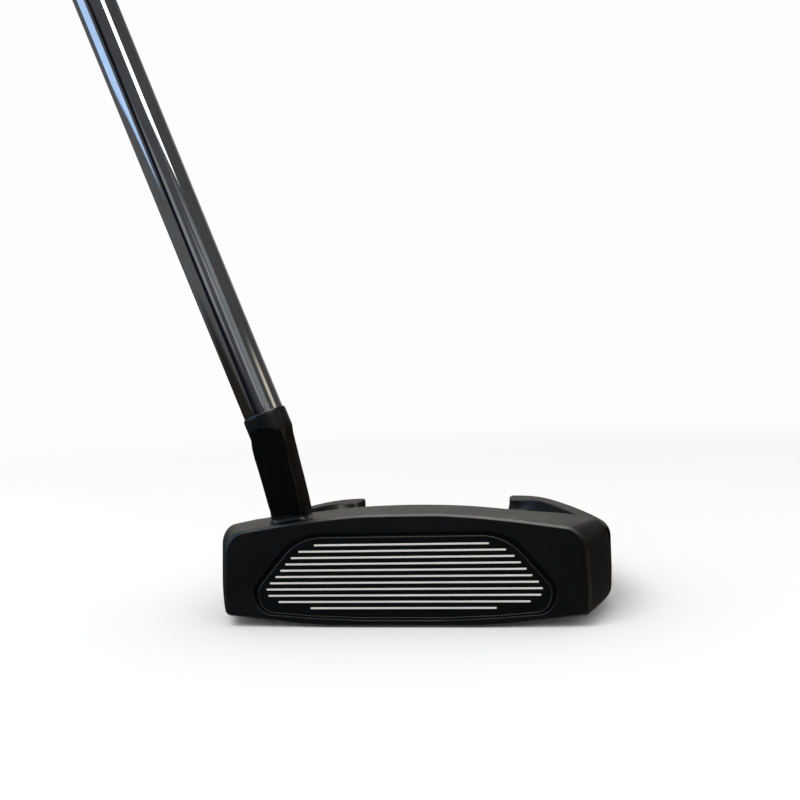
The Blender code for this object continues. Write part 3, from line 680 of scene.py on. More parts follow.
LINE_WHITE = soft("sight_line_enamel", colour=(0.78, 0.78, 0.76), rough=0.35,
                  scale=900, strength=0.3, distance=4e-6, spec=0.5, vary=0.05)
SHAFT_CHROME = chrome_material()
GRIP_RUBBER = grip_material()
CAP_PLASTIC = soft("grip_cap_plastic", colour=(0.012, 0.012, 0.012), rough=0.5,
                   scale=1500, strength=0.5, distance=8e-6, edge=0.3)

# ---------------------------------------------------------------- head body
SIDE_DRAFT = 0.035                 # how far the side leans in per millimetre of height
SIDE_Z = 8.0                       # height of the widest point
SOLE_SIDE_X = 40.4                 # where the sole meets the curve up to the side
HALF_STEPS = 34                    # points along each half of the top and the sole
REAR_DROP, REAR_DROP_END = 2.62, 21.6  # the top falls this much behind the bar, up to this y
# rounded edge around the face: inset, y
FACE_ROUNDING = ((0.72, 0.0), (0.64, 0.015), (0.57, 0.06), (0.12, 0.5), (0.04, 0.59), (0.0, 0.72))
FACE_EDGE = 0.75
# opening between the wings, in two halves: x, y, corner radius
OPENING_SIDE = ((19.6, PARTING_Y, 2.5), (33, PARTING_Y, 2.5), (33, 36.0, 1.0), (60, 36.0, 0),
                (60, 80, 0))
OPENING_BRIDGE = ((-17.6, 62.6, 5.0), (-9, 64.4, 30))
# edges of the opening: height, growth; the upper rows are measured from the bridge's top
OPENING_LOW = ((-4, 0.5), (0.0, 0.5), (0.18, 0.27), (0.5, 0.0), (8.0, 0.0))
OPENING_HIGH = ((-0.55, 0.0), (-0.16, 0.16), (0.02, 0.55), (2.0, 0.56))
OPENING_TOP = ((40.0, 0.56),)
# screw bores in the head: radius, z
NECK_SCREW_BORE = ((3.95, -2), (3.95, 1.0), (2.2, 2.75), (2.2, 6.0))
WING_SCREW_BORE = ((2.95, -2), (2.95, 3.0), (1.7, 4.25), (1.7, 7))
pocket_outline = spaced(rounded(mirrored(POCKET), 14), 1.5)


def head_loop(y, inset=0.0):
    """The head's cross-section at y, leaning back with the face at the front."""
    width = read_table(HALF_WIDTH, min(y, 37.0)) - inset
    share = min(1.0, y / BAR_DEPTH)
    drop = REAR_DROP * ramp(y, BAR_DEPTH, REAR_DROP_END)

    def top(x):
        return topline(x, y) - drop - inset * 0.95

    def low(x):
        return read_table(SOLE, x) + inset * 0.75

    corner_r, foot_r = 5.6 - 1.3 * share - inset * 0.8, 1.5 - inset * 0.5
    x_top = width - SIDE_DRAFT * (top(width) - 7)
    reach = x_top - 2.15 * corner_r
    top_half = [(reach * k / HALF_STEPS, top(reach * k / HALF_STEPS))
                for k in range(HALF_STEPS + 1)]
    side = rounded([(*top_half[-1], 0), (x_top, top(x_top), corner_r), (width, SIDE_Z, 40),
                    (width - 0.45 + 0.2 * share, low(width), foot_r),
                    (SOLE_SIDE_X, low(SOLE_SIDE_X), 0)], 10)
    half = top_half + side[1:-1]
    for k in range(HALF_STEPS + 1):
        x = SOLE_SIDE_X * (1 - k / HALF_STEPS)
        half.append((x, low(x)))
    loop = half + [(-x, z) for x, z in reversed(half[1:-1])]
    lean = math.tan(LOFT) * (1 - share)
    return [(x, y + z * lean, z) for x, z in loop]


def build_head():
    loops = [head_loop(y, inset) for inset, y in FACE_ROUNDING]
    loops += [head_loop(FACE_EDGE + 1.09 * k) for k in range(1, 15)]
    loops += [head_loop(16.5 + 0.5 * k) for k in range(11)]
    loops += [head_loop(y) for y in (23, 25, 28, 31, 34, 36.5, 45, 55, 66)]
    head = mesh_object("head_body_shell", loft(loops), BODY_BLACK)
    # step down from the bar to the bridge
    step = rounded([(BAR_DEPTH, BRIDGE_FRONT_Z, 1.6), (BRIDGE_BACK_Y, BRIDGE_BACK_Z, 0),
                    (BRIDGE_BACK_Y, 40, 0), (BAR_DEPTH, 40, 0)], 8)
    cut(head, prism(step, -43.4, 43.4, side_view))
    groove = rounded_rect(GROOVE_HALF, GROOVE_FRONT, GROOVE_BACK, radius=0.85, steps=8)
    cut(head, layers(groove, ((-0.7, 0.0), (-0.1, 0.0), (0.02, 0.12), (5, 0.12)), on_bridge))
    # seats for the wings, above the ledges that their screws pass through
    cut(head, join(box(26, 60, PARTING_Y, 37.5, 8.0, 40), box(-60, -26, PARTING_Y, 37.5, 8.0, 40)))
    opening = rounded(mirrored(OPENING_SIDE) + mirrored(OPENING_BRIDGE), 9)
    cut(head, loft(layer_loops(opening, OPENING_LOW)
                   + layer_loops(opening, OPENING_HIGH, on_bridge)
                   + layer_loops(opening, OPENING_TOP)))
    recess = rounded_rect(PLATE_HALF + PLATE_GAP, PLATE_FRONT - PLATE_GAP, PLATE_BACK + PLATE_GAP,
                          radius=PLATE_R + PLATE_GAP, steps=10)
    cut(head, layers(recess, ((-4, 0.2), (0.0, 0.2), (0.2, 0.0), (1.75, 0.0))))
    cut(head, layers(pocket_outline, ((-3, 0.22), (0.0, 0.22), (0.05, 0.1), (0.16, 0.02),
                                      (0.35, 0.0), (1.6, 0.0)), in_face))
    cut(head, turned_upright(NECK_SCREW_BORE, NECK_SCREW_AT, 48))
    cut(head, join(*[turned_upright(WING_SCREW_BORE, place, 40) for place in WING_SCREWS_AT]))
    show(head, "head_body")


def build_sight_line():
    outline = rounded_rect(GROOVE_HALF - LINE_GAP, GROOVE_FRONT + LINE_GAP,
                           GROOVE_BACK - LINE_GAP, radius=0.84, steps=10)
    rows = ((-0.65, 0.0), (-0.1, 0.0), (-0.04, -0.05), (-0.03, -0.2))
    line = mesh_object("sight_line_enamel", layers(spaced(outline, 3), rows, on_bridge),
                       LINE_WHITE)
    show(line, "sight_line_inlay")


# ---------------------------------------------------------------- insert and beams
BEAM_PITCH, BEAM_THICK, BEAM_TOP = 1.475, 0.43, 19.12
# half lengths of the beams, from the top one down
BEAM_HALF = (20.6, 24.45, 26.3, 27.7, 28.95, 30.2, 31.6, 32.45, 32.05, 29.6, 21.85)
# edges of the insert, the floor around it and a beam: depth into the head, growth
INSERT_ROWS = ((1.3, -0.2), (0.55, -0.2), (0.2, -0.12), (0.07, -0.2), (0.05, -0.35), (0.05, -0.8))
FLOOR_ROWS = ((1.55, -0.02), (0.62, -0.02), (0.6, -0.3))
BEAM_ROWS = ((0.85, 0.0), (0.07, 0.0), (0.035, -0.02), (0.03, -0.06))
LIP_HALF_WIDTH, LIP_HALF_DEPTH, LIP_CENTRE = 0.14, 0.15, 0.17
insert_outline = spaced(rounded(mirrored(INSERT), 14), 1.2)


def beam_outline(i, end_gap, side_gap, radius, steps):
    up, half_thick = BEAM_TOP - i * BEAM_PITCH, BEAM_THICK / 2 + side_gap
    return rounded_rect(BEAM_HALF[i] + end_gap, up - half_thick, up + half_thick, radius, steps)


def build_insert():
    insert = mesh_object("face_insert_skin", layers(insert_outline, INSERT_ROWS, in_face),
                         INSERT_POLYMER)
    boolean(insert, layers(pocket_outline, FLOOR_ROWS, in_face), "UNION")
    for i in range(len(BEAM_HALF)):
        outline = beam_outline(i, end_gap=0.04, side_gap=0.03, radius=0.12, steps=4)
        cut(insert, prism(outline, -1, 0.9, in_face))
    show(insert, "face_insert")


def build_insert_lip():
    """A thin rounded bead along the insert's edge, lighter in colour: partly edge wear, partly a
    painted sheen.
    """
    loops = []
    for k in range(12):
        angle = 2 * math.pi * k / 12
        depth = LIP_CENTRE - LIP_HALF_DEPTH * math.sin(angle)
        growth = -LIP_HALF_WIDTH + LIP_HALF_WIDTH * math.cos(angle)
        loops += layer_loops(insert_outline, ((depth, growth),), in_face)
    lip = mesh_object("face_insert_lip", loft(loops, closed=True), LIP_POLYMER)
    show(lip, "face_insert", weighted=False, replaces=False)


def build_beams():
    beams = [layers(beam_outline(i, end_gap=0, side_gap=0, radius=0.14, steps=5),
                    BEAM_ROWS, in_face) for i in range(len(BEAM_HALF))]
    show(mesh_object("insert_beams", join(*beams), BEAM_ALUMINIUM), "insert_beam_plate")


# ---------------------------------------------------------------- sole plate and screws
PLATE_SCREW_BORE = ((2.35, -1), (2.35, 0.1), (1.4, 1.1), (1.4, 3))  # radius, z
# screws stand head down: face_z is the head's outer face, top_z the shank's upper end
NECK_SCREW = dict(face_z=1.05, head_r=3.45, head_h=1.6, shank_r=1.9, top_z=5.5,
                  hexagon=2.5, depth=1.3)
WING_SCREW = dict(face_z=3.05, head_r=2.5, head_h=1.2, shank_r=1.3, top_z=6.5,
                  hexagon=1.9, depth=1.0)
PLATE_SCREW = dict(face_z=0.1, head_r=2.0, head_h=0.95, shank_r=1.0, top_z=1.55,
                   hexagon=1.5, depth=0.7)


def build_sole_plate():
    outline = rounded_rect(PLATE_HALF, PLATE_FRONT, PLATE_BACK, PLATE_R, steps=12)
    rows = ((1.6, 0.0), (0.25, 0.0), (0.08, -0.08), (0.0, -0.25), (0.0, -0.8))
    plate = mesh_object("sole_plate_skin", layers(spaced(outline, 4), rows), PLATE_SATIN)
    for place in PLATE_SCREWS_AT:
        cut(plate, turned_upright(PLATE_SCREW_BORE, place, 40))
    show(plate, "sole_plate")


def cut_socket(part, place, hexagon, face_z, depth):
    """Cuts a hexagon socket, given across its flats, and its chamfered mouth."""
    r = hexagon / math.sqrt(3)
    cut(part, turned_upright([(r, face_z - 1), (r, face_z + depth)], place, 6))
    mouth = [(r * 1.16, face_z - 1), (r * 1.16, face_z), (r * 0.86, face_z + r * 0.3)]
    cut(part, turned_upright(mouth, place, 32))


def build_screw(kind, label, place, face_z, head_r, head_h, shank_r, top_z, hexagon, depth):
    profile = [(0.02, face_z), (head_r - 0.35, face_z), (head_r - 0.1, face_z + 0.03),
               (head_r, face_z + 0.12), (head_r, face_z + 0.16), (shank_r, face_z + head_h),
               (shank_r, top_z - 0.3), (shank_r - 0.3, top_z), (0.02, top_z)]
    screw = mesh_object(kind + "_skin" + label, turned_upright(profile, place, 48), SCREW_STEEL)
    cut_socket(screw, place, hexagon, face_z, depth)
    show(screw, kind + label)


def build_screws():
    build_screw("neck_screw", "", NECK_SCREW_AT, **NECK_SCREW)
    for i, place in enumerate(WING_SCREWS_AT):
        end = "heel" if place[0] < 0 else "toe"
        build_screw("wing_screw", f"_{end}_{i % 2 + 1}", place, **WING_SCREW)
    for i, place in enumerate(PLATE_SCREWS_AT):
        build_screw("sole_plate_screw", f"_{i + 1}", place, **PLATE_SCREW)


# ---------------------------------------------------------------- wings
WING_TOP = 19.5
FLOOR_TOP = 12.7
INNER_EDGE_R = 0.8                 # largest top rounding along the inner wall
COVE_END = 62.0                    # slope of the inner wall where it meets its top edge, degrees
# plan of the toe rail, back along the outer side and forward along the inner: x, y, top rounding
RAIL = (
    (49.45, 21.3, 2.4), (49.6, 25.5, 2.4), (49.35, 30.5, 2.4), (48.35, 36.0, 2.4),
    (46.85, 42.2, 2.4), (45.0, 48.9, 2.4), (43.0, 55.6, 2.4), (40.8, 62.0, 2.4),
    (38.5, 68.2, 2.4), (36.0, 73.6, 2.3), (33.3, 77.6, 2.2), (30.2, 80.2, 2.0),
    (26.9, 81.3, 1.6), (24.4, 81.2, 1.2), (23.3, 80.2, 0.8), (23.25, 75.5, 0.5),
    (23.5, 70.9, 0.5), (24.3, 70.0, 0.5), (27.0, 69.55, 0.5), (29.7, 68.3, 0.5),
    (32.3, 65.6, 0.5), (34.4, 61.9, 0.5), (36.4, 57.0, 0.5), (38.2, 51.5, 0.5),
    (40.0, 45.9, 0.5), (41.5, 40.2, 0.5), (42.6, 34.5, 0.5), (43.3, 28.5, 0.5),
    (43.45, 21.3, 0.5))
RAIL_OUTER, RAIL_INNER = 16, 18    # rows before the first are outer, from the second on inner
# points that only steer the curve's two ends: x, y, top rounding, share of inner side
RAIL_BEFORE, RAIL_AFTER = (49.2, 17.0, 2.4, 0.0), (43.5, 15.0, 0.5, 1.0)
# floor between the rail and the bridge: x, y, corner radius
WING_FLOOR = ((33.6, 22.3, 2.2), (46.0, 22.3, 0), (46.2, 30.0, 0), (44.6, 40.0, 0),
              (42.4, 48.0, 0), (40.0, 56.0, 0), (37.2, 64.0, 0), (34.2, 70.5, 0),
              (28.5, 76.0, 0), (24.6, 76.0, 0), (23.3, 70.0, 0), (23.3, 48.5, 6.0),
              (33.6, 38.5, 5.0))
WEIGHT_BORE = ((7.95, -3), (7.95, 1.3), (7.6, 1.75), (7.6, 4.9), (5.7, 4.9), (5.7, 11.9))
# underside relief towards the back: y, z
REAR_RELIEF = ((57.0, -6), (57.0, -0.2), (86, 5.4), (86, -6))


def floor_z(y):
    return FLOOR_TOP + 3.6 * ramp(y, 50.0, 70.0)


def rail_plan():
    """The rail's plan, finely spaced: x, y, top rounding, share of inner side (0 to 1)."""
    rows = [(*row, 0.0 if i < RAIL_OUTER else 1.0 if i >= RAIL_INNER else 0.5)
            for i, row in enumerate(RAIL)]
    return catmull_rom([RAIL_BEFORE, *rows, RAIL_AFTER], per_span=6) + [rows[-1]]


def rail_loops(side):
    """The rail's plan at each level, from below the sole up to its top face."""
    plan = rail_plan()
    normals = [Vector((1, 0))]
    for before, after in zip(plan, plan[2:]):
        along = Vector(after[:2]) - Vector(before[:2])
        along.normalize()
        normals.append(Vector((along.y, -along.x)))
    normals.append(Vector((-1, 0)))

    def level(height, inset):
        return [(side * (p[0] - normal.x * inset(p)), p[1] - normal.y * inset(p), height(p))
                for p, normal in zip(plan, normals)]

    def edge(p):
        """Radius of the rounded top edge: soft outside, small along the inner wall."""
        return min(p[2], INNER_EDGE_R) if p[3] > 0.2 else p[2]

    def cove_level(angle):
        """The inner wall sweeps up from the floor; the outer wall stays straight."""
        end = math.radians(COVE_END)
        rise = (1 - math.cos(angle)) / (1 - math.cos(end))
        back = 1 - math.sin(angle) / math.sin(end)

        def height(p):
            base = floor_z(p[1])
            return base + (WING_TOP - edge(p) - base) * rise

        def inset(p):
            inner = max(0.0, min(1.0, p[3]))
            wide = (WING_TOP - INNER_EDGE_R - floor_z(p[1])) * 0.75
            return -inner * wide * back * ramp(p[1], 24, 40)
        return level(height, inset)

    def edge_level(angle):
        return level(lambda p: WING_TOP - edge(p) * (1 - math.sin(angle)),
                     lambda p: edge(p) * (1 - math.cos(angle)))

    loops = [level(lambda p: z, lambda p: 0.0) for z in (-2.0, 6.0, 11.0)]
    loops += [cove_level(math.radians(COVE_END) * k / 8) for k in range(9)]
    loops += [edge_level(math.radians(90) * k / 7) for k in range(1, 8)]
    loops.append(level(lambda p: WING_TOP, lambda p: edge(p) + 0.35))
    return loops


def below_sole(x_low, x_high, y_front, y_back, steps=40):
    """Everything under the sole's curve."""
    outline = []
    for k in range(steps + 1):
        x = x_low + (x_high - x_low) * k / steps
        outline.append((x, read_table(SOLE, x)))
    outline += [(x_high, -9), (x_low, -9)]
    return loft([[(x, y, z) for x, z in outline] for y in (y_front, y_back)])


def build_wing(side, label):
    wing = mesh_object("wing_shell_" + label, loft(rail_loops(side)), WING_BLACK)
    under_floor = loft([[(20.0, y, -2.5), (50.0, y, -2.5), (50.0, y, floor_z(y)),
                         (20.0, y, floor_z(y))] for y in [20.0 + 1.5 * k for k in range(41)]])
    block = layers(rounded(WING_FLOOR, 10), ((-1.9, 0.0), (9.0, 0.0), (30.0, 0.0)))
    floor_part = mesh_object("wing_floor_" + label, on_side(block, side), WING_BLACK)
    boolean(floor_part, on_side(under_floor, side), "INTERSECT")
    merge(wing, floor_part)
    # room for the head's ledge under the front of the wing
    cut(wing, on_side(box(25, 60, 10, 36.3, -10, 8.3), side))
    cut(wing, on_side(below_sole(15, 57, 5, 95), side))
    cut(wing, on_side(prism(REAR_RELIEF, 10, 62, side_view), side))
    cut(wing, on_side(turned_upright(WEIGHT_BORE, WEIGHT, 64), side))
    show(wing, "wing_" + label)


# sole weight, from its face up its threaded stem: radius, z
WEIGHT_PROFILE = (
    (0.02, 2.6), (4.6, 2.6), (4.75, 2.72), (5.15, 2.72), (5.3, 2.6), (6.6, 2.6), (6.95, 2.66),
    (7.2, 2.88), (7.25, 3.1), (7.25, 4.15), (5.5, 4.15), (5.5, 5.2), (5.2, 5.5), (5.5, 5.8),
    (5.2, 6.3), (5.5, 6.8), (5.2, 7.3), (5.5, 7.8), (5.2, 8.3), (5.5, 8.8), (5.2, 9.3),
    (5.5, 9.8), (5.4, 10.7), (5.0, 11.2), (0.02, 11.2))
# seal ring: radius and height of its centre line, half width, half height
SEAL_R, SEAL_Z, SEAL_HALF_WIDTH, SEAL_HALF_HEIGHT = 6.45, 4.525, 0.6, 0.26


def build_weight(side, label):
    x, y = side * WEIGHT[0], WEIGHT[1]
    steel = metal("weight_steel_" + label, colour=(0.30, 0.30, 0.31), rough=0.24, depth=3e-6,
                  edge=0.12, around=(x * MM, (y - ORIGIN_Y) * MM))
    weight = mesh_object("sole_weight_skin_" + label,
                         turned_upright(WEIGHT_PROFILE, (x, y), 96), steel)
    cut_socket(weight, (x, y), hexagon=5.0, face_z=2.6, depth=3.2)
    show(weight, "sole_weight_" + label, body=label + "_weight")


def build_seal(side, label):
    loops = []
    for k in range(12):
        angle = 2 * math.pi * k / 12
        centre = (side * WEIGHT[0], WEIGHT[1], SEAL_Z + SEAL_HALF_HEIGHT * math.sin(angle))
        loops.append(ring(centre, Z_AXIS, SEAL_R + SEAL_HALF_WIDTH * math.cos(angle), 72))
    seal = mesh_object("weight_seal_skin_" + label, loft(loops, closed=True), SEAL_NITRILE)
    show(seal, "weight_seal_" + label, body=label + "_seal", weighted=False)


# ---------------------------------------------------------------- neck
NECK_RIM = 54.2                    # the collar's upper end, along the shaft's axis
COLLAR_R, COLLAR_LENGTH = 5.15, 4.8
collar_foot = on_axis(NECK_RIM - COLLAR_LENGTH)
# neck sections: z, centre x, centre y, half size in x, half size in y,
# power of the superellipse (2 is round), lean towards the shaft's axis (0 to 1)
NECK = ((22.7, -27.6, 8.2, 4.5, 4.45, 4.5, 0.0), (25.6, -27.6, 8.2, 4.5, 4.5, 4.5, 0.0),
        (28.2, -27.75, 7.05, 4.5, 4.85, 4.8, 0.05), (33.2, -28.15, 4.87, 4.5, 5.07, 4.6, 0.2),
        (39.3, -28.72, 2.1, 4.55, 5.4, 3.8, 0.5), (42.0, -28.88, 0.6, 4.68, 5.8, 3.1, 0.75),
        (44.2, -28.97, -0.55, 4.88, 5.65, 2.5, 0.9),
        (collar_foot.z, collar_foot.x, collar_foot.y, COLLAR_R, COLLAR_R, 2.0, 1.0))
NECK_HEIGHTS = (27.0, 27.8, 28.8, 30, 31.5, 33, 34.5, 36, 37.5, 39, 40.3, 41.5, 42.5, 43.5,
                44.3, 45.0, 45.6)
FOOT_FILLET = 1.2
RIM_ROUND_R, RIM_ROUND_LENGTH = 0.30, 0.9
# collar: radius, distance back from the rim; below and above its rounded edge
COLLAR = ((COLLAR_R, COLLAR_LENGTH), (COLLAR_R, 3.6), (COLLAR_R, 2.2),
          (COLLAR_R, RIM_ROUND_LENGTH))
COLLAR_MOUTH = ((4.82, 0.02), (4.79, 0.08), (4.79, 1.0), (2.0, 1.0))
# the flat cut: half width, length down from its arch, and (depth outwards, growth) rows
FLAT_HALF, FLAT_LENGTH = 7.4, 16.4
FLAT_ROWS = ((0.0, 0.0), (0.15, 0.02), (0.5, 0.12), (1.2, 0.42), (2.2, 1.0), (8.0, 5.0))
FLAT_OUT = Vector((0.0, -0.922, -0.387)).normalized()
FLAT_UP = Vector((-0.095, -0.40, 0.91))
FLAT_UP = (FLAT_UP - FLAT_OUT * FLAT_UP.dot(FLAT_OUT)).normalized()
FLAT_ACROSS = FLAT_UP.cross(FLAT_OUT)
FLAT_CENTRE = Vector((-29.3, -2.30, 40.0)) + FLAT_UP * 0.9


def superellipse(centre, half_x, half_y, power, lean):
    """A neck section whose axis leans from upright (0) to the shaft's axis (1)."""
    axis = Vector((0, 0, 1)).lerp(SHAFT_UP, lean).normalized()
    u = (Vector((1, 0, 0)) - axis * axis.x).normalized()
    v = axis.cross(u)
    out = []
    for k in range(96):
        angle = 2 * math.pi * k / 96
        cos, sin = math.cos(angle), math.sin(angle)
        out.append(tuple(Vector(centre)
                         + u * (half_x * math.copysign(abs(cos) ** (2 / power), cos))
                         + v * (half_y * math.copysign(abs(sin) ** (2 / power), sin))))
    return out


def neck_section(z):
    """All values of the neck's section at z, read smoothly between the rows."""
    last = len(NECK) - 1

    def tangent(k, column):
        def slope(j):
            return (NECK[j + 1][column] - NECK[j][column]) / (NECK[j + 1][0] - NECK[j][0])
        if k in (0, last):
            return slope(min(k, last - 1))
        return (slope(k - 1) + slope(k)) / 2

    i = max(k for k in range(last) if NECK[k][0] <= z + 1e-9)
    low, high = NECK[i], NECK[i + 1]
    h = high[0] - low[0]
    t = (z - low[0]) / h
    return [hermite(low[j], high[j], tangent(i, j), tangent(i + 1, j), h, t)
            for j in range(1, 7)]


def on_flat(across, up, out):
    return tuple(FLAT_CENTRE + FLAT_ACROSS * across + FLAT_UP * up + FLAT_OUT * out)


def build_neck():
    foot_section = superellipse((-27.62, 8.17, 26.0), 4.5, 4.45, power=4.5, lean=0.0)
    foot = [(x, y) for x, y, z in foot_section]
    loops = layer_loops(foot, ((23.3, FOOT_FILLET),))
    # hollow fillet where the foot stands on the bar's top
    for k in range(8):
        angle = math.radians(90) * k / 7
        growth = FOOT_FILLET * (1 - math.sin(angle))
        rise = FOOT_FILLET * (1 - math.cos(angle)) - 0.03
        loops.append([(x, y, topline(x, min(y, 15.9)) + rise) for x, y in grown(foot, growth)])
    for z in NECK_HEIGHTS:
        x, y, half_x, half_y, power, lean = neck_section(z)
        loops.append(superellipse((x, y, z), half_x, half_y, power, max(0.0, min(1.0, lean))))
    rim_edge = [(COLLAR_R - RIM_ROUND_R * (1 - math.cos(math.radians(angle))),
                 RIM_ROUND_LENGTH * (1 - math.sin(math.radians(angle))))
                for angle in range(10, 91, 10)]
    for radius, back in (*COLLAR, *rim_edge, *COLLAR_MOUTH):
        loops.append(superellipse(on_axis(NECK_RIM - back), radius, radius, power=2.0, lean=1.0))
    neck = mesh_object("slant_neck_skin", loft(loops), NECK_BLACK, sharp=40)
    # the flat on the front leans back to the foot, and ends in an arch under the collar
    arch = [(FLAT_HALF * math.cos(math.radians(angle)), FLAT_HALF * math.sin(math.radians(angle)))
            for angle in range(0, 181, 5)]
    arch += [(-FLAT_HALF, -FLAT_LENGTH), (FLAT_HALF, -FLAT_LENGTH)]
    cut(neck, layers(arch, FLAT_ROWS, on_flat), sharp=28)
    show(neck, "slant_neck")


# ---------------------------------------------------------------- shaft and grip
# distance along the axis, outer radius
SHAFT = ((54.3, 4.7), (120, 4.78), (200, 4.92), (300, 5.3), (400, 5.8), (500, 6.3), (600, 6.75),
         (700, 7.1), (800, 7.4), (857.0, 7.55))
SHAFT_BORE = 4.2
# distance along the axis, half width (y), reach towards the toe, reach towards the heel
GRIP = ((590, 9.2, 8.6, 9.2), (594, 9.9, 9.2, 9.9), (640, 10.6, 9.5, 10.9),
        (690, 11.3, 9.9, 12.0), (740, 12.0, 10.3, 13.2), (780, 12.6, 10.65, 14.9),
        (810, 13.0, 10.9, 16.8), (835, 13.3, 11.1, 18.0), (850, 13.4, 11.2, 17.9),
        (860.8, 13.3, 11.2, 17.1))
# rounded ends and ring grooves of the grip, and the cap: distance along the axis, inset
GRIP_LOW = ((590.0, 0.9), (590.15, 0.45), (590.5, 0.15), (591.2, 0.0), (594.5, 0.0),
            (595.3, 0.06), (595.7, 0.32), (596.1, 0.36), (596.5, 0.32), (596.9, 0.06),
            (597.7, 0.0))
GRIP_HIGH = ((848.0, 0.0), (850.2, 0.05), (850.6, 0.3), (851.0, 0.36), (851.4, 0.3),
             (851.8, 0.05), (853.0, 0.0), (857.0, 0.0), (859.8, 0.02), (860.4, 0.12),
             (860.8, 0.35))
CAP = ((861.0, 0.0), (862.3, 0.0), (863.0, 0.25), (863.5, 0.8), (863.85, 1.7), (864.0, 2.6),
       (864.0, 4.6), (863.7, 4.9), (863.6, 5.3), (863.7, 5.7), (864.0, 6.0), (864.0, 7.5))
CAP_SIZE = (13.25, 11.15, 17.0)    # half width, reach towards the toe, towards the heel
CAP_HOLE = ((1.0, 850), (1.0, 863.6), (1.5, 864.2), (1.5, 880))  # radius, distance


def shaft_radius(s):
    return read_table(SHAFT, s)


def build_shaft():
    profile = [(SHAFT_BORE, 53.1), (4.62, 53.1), (4.7, 53.25)]
    profile += [(shaft_radius(s), s) for s in range(56, 858, 11)]
    profile += [(7.5, 857.0), (7.0, 857.0), (SHAFT_BORE, 60.0)]
    shape = turned(profile, SHAFT_GROUND, SHAFT_UP, 128, SHAFT_TOE, closed=True)
    show(mesh_object("shaft_skin", shape, SHAFT_CHROME), "shaft_tube")


def grip_loop(s, size, inset):
    """A grip section: flattened on the toe side, fuller on the heel side."""
    width, toe, heel = [value - inset for value in size]
    centre = on_axis(s)
    out = []
    for k in range(96):
        angle = 2 * math.pi * k / 96
        cos, sin = math.cos(angle), math.sin(angle)
        if cos > 0:
            u, v = toe * cos ** 0.42, width * math.copysign(abs(sin) ** 0.72, sin)
        else:
            u, v = heel * -((-cos) ** 0.95), width * math.copysign(abs(sin) ** 0.92, sin)
        u = min(u, toe * 0.965)
        out.append(tuple(centre + SHAFT_TOE * u + SHAFT_BACK * v))
    return out


def build_grip():
    loops = []
    for s, inset in (*GRIP_LOW, *[(s, 0.0) for s in range(600, 846, 4)], *GRIP_HIGH):
        size = [read_table([(row[0], row[j]) for row in GRIP], max(s, 592.5)) for j in (1, 2, 3)]
        loops.append(grip_loop(s, size, inset))
    # back down inside, clear of the shaft
    loops += [ring(on_axis(s), SHAFT_UP, shaft_radius(s) + 0.3, 96, SHAFT_TOE)
              for s in (860.8, 800, 700, 592, 590)]
    grip = mesh_object("grip_rubber_skin", loft(loops, closed=True), GRIP_RUBBER)
    show(grip, "grip_sleeve")


def build_grip_cap():
    loops = [ring(on_axis(s), SHAFT_UP, 3.0, 96, SHAFT_TOE) for s in (856.0, 861.0)]
    loops += [grip_loop(s, CAP_SIZE, inset) for s, inset in CAP]
    cap = mesh_object("grip_cap_skin", loft(loops), CAP_PLASTIC)
    cut(cap, turned(CAP_HOLE, SHAFT_GROUND, SHAFT_UP, 32))
    show(cap, "grip_end_cap")


build_head()
build_sight_line()
build_insert()
build_insert_lip()
build_beams()
build_sole_plate()
build_screws()
for wing_side, wing_label in ((-1, "heel"), (1, "toe")):
    build_wing(wing_side, wing_label)
    build_weight(wing_side, wing_label)
    build_seal(wing_side, wing_label)
build_neck()
build_shaft()
build_grip()
build_grip_cap()

# hidden CAD nodes that stay
for kept, kept_material in (("insert_bond_tape", TAPE_FOAM), ("face_damper", PAD_ELASTOMER),
                            ("grip_tape", TAPE_FOAM)):
    kept_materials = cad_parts[kept].data.materials
    kept_materials.clear()
    kept_materials.append(kept_material)

# ---------------------------------------------------------------- floor, light, camera (metres)
FLOOR_HALF, FLOOR_Z = 6, -0.0002


def floor_material():
    """Pale floor that fades to white further out and is clear from below, to show the sole."""
    made, shader, nodes, where = material("floor_pale")
    nodes.link(nodes.mix(nodes.noise(where, scale=9, detail=3), (0.88,) * 3, (0.91,) * 3),
               shader.inputs["Base Color"])
    shader.inputs["Roughness"].default_value = 0.9
    shader.inputs["Specular IOR Level"].default_value = 0.0
    distance = nodes.add("ShaderNodeVectorMath", operation="LENGTH")
    nodes.link(where, distance.inputs[0])
    glow = nodes.add("ShaderNodeEmission")
    glow.inputs["Color"].default_value = (0.985, 0.985, 0.985, 1)
    fade = nodes.add("ShaderNodeMixShader")
    nodes.link(nodes.remap(distance.outputs["Value"], span=(0.25, 0.9), to=(0.0, 1.0),
                           smooth=True), fade.inputs[0])
    nodes.link(shader.outputs[0], fade.inputs[1])
    nodes.link(glow.outputs[0], fade.inputs[2])
    clear = nodes.add("ShaderNodeMixShader")
    nodes.link(nodes.add("ShaderNodeNewGeometry").outputs["Backfacing"], clear.inputs[0])
    nodes.link(fade.outputs[0], clear.inputs[1])
    nodes.link(nodes.add("ShaderNodeBsdfTransparent").outputs[0], clear.inputs[2])
    nodes.link(clear.outputs[0], made.node_tree.nodes["Material Output"].inputs["Surface"])
    return made


def build_floor():
    mesh = bpy.data.meshes.new("floor")
    corners = ((-1, -1), (1, -1), (1, 1), (-1, 1))
    mesh.from_pydata([(x * FLOOR_HALF, y * FLOOR_HALF, FLOOR_Z) for x, y in corners],
                     [], [(0, 1, 2, 3)])
    stage = bpy.data.objects.new("floor", mesh)
    bpy.context.scene.collection.objects.link(stage)
    mesh.materials.append(floor_material())
    stage.visible_glossy = False


BEYOND = 400                       # past the end of an angle's range, so no soft edge shows
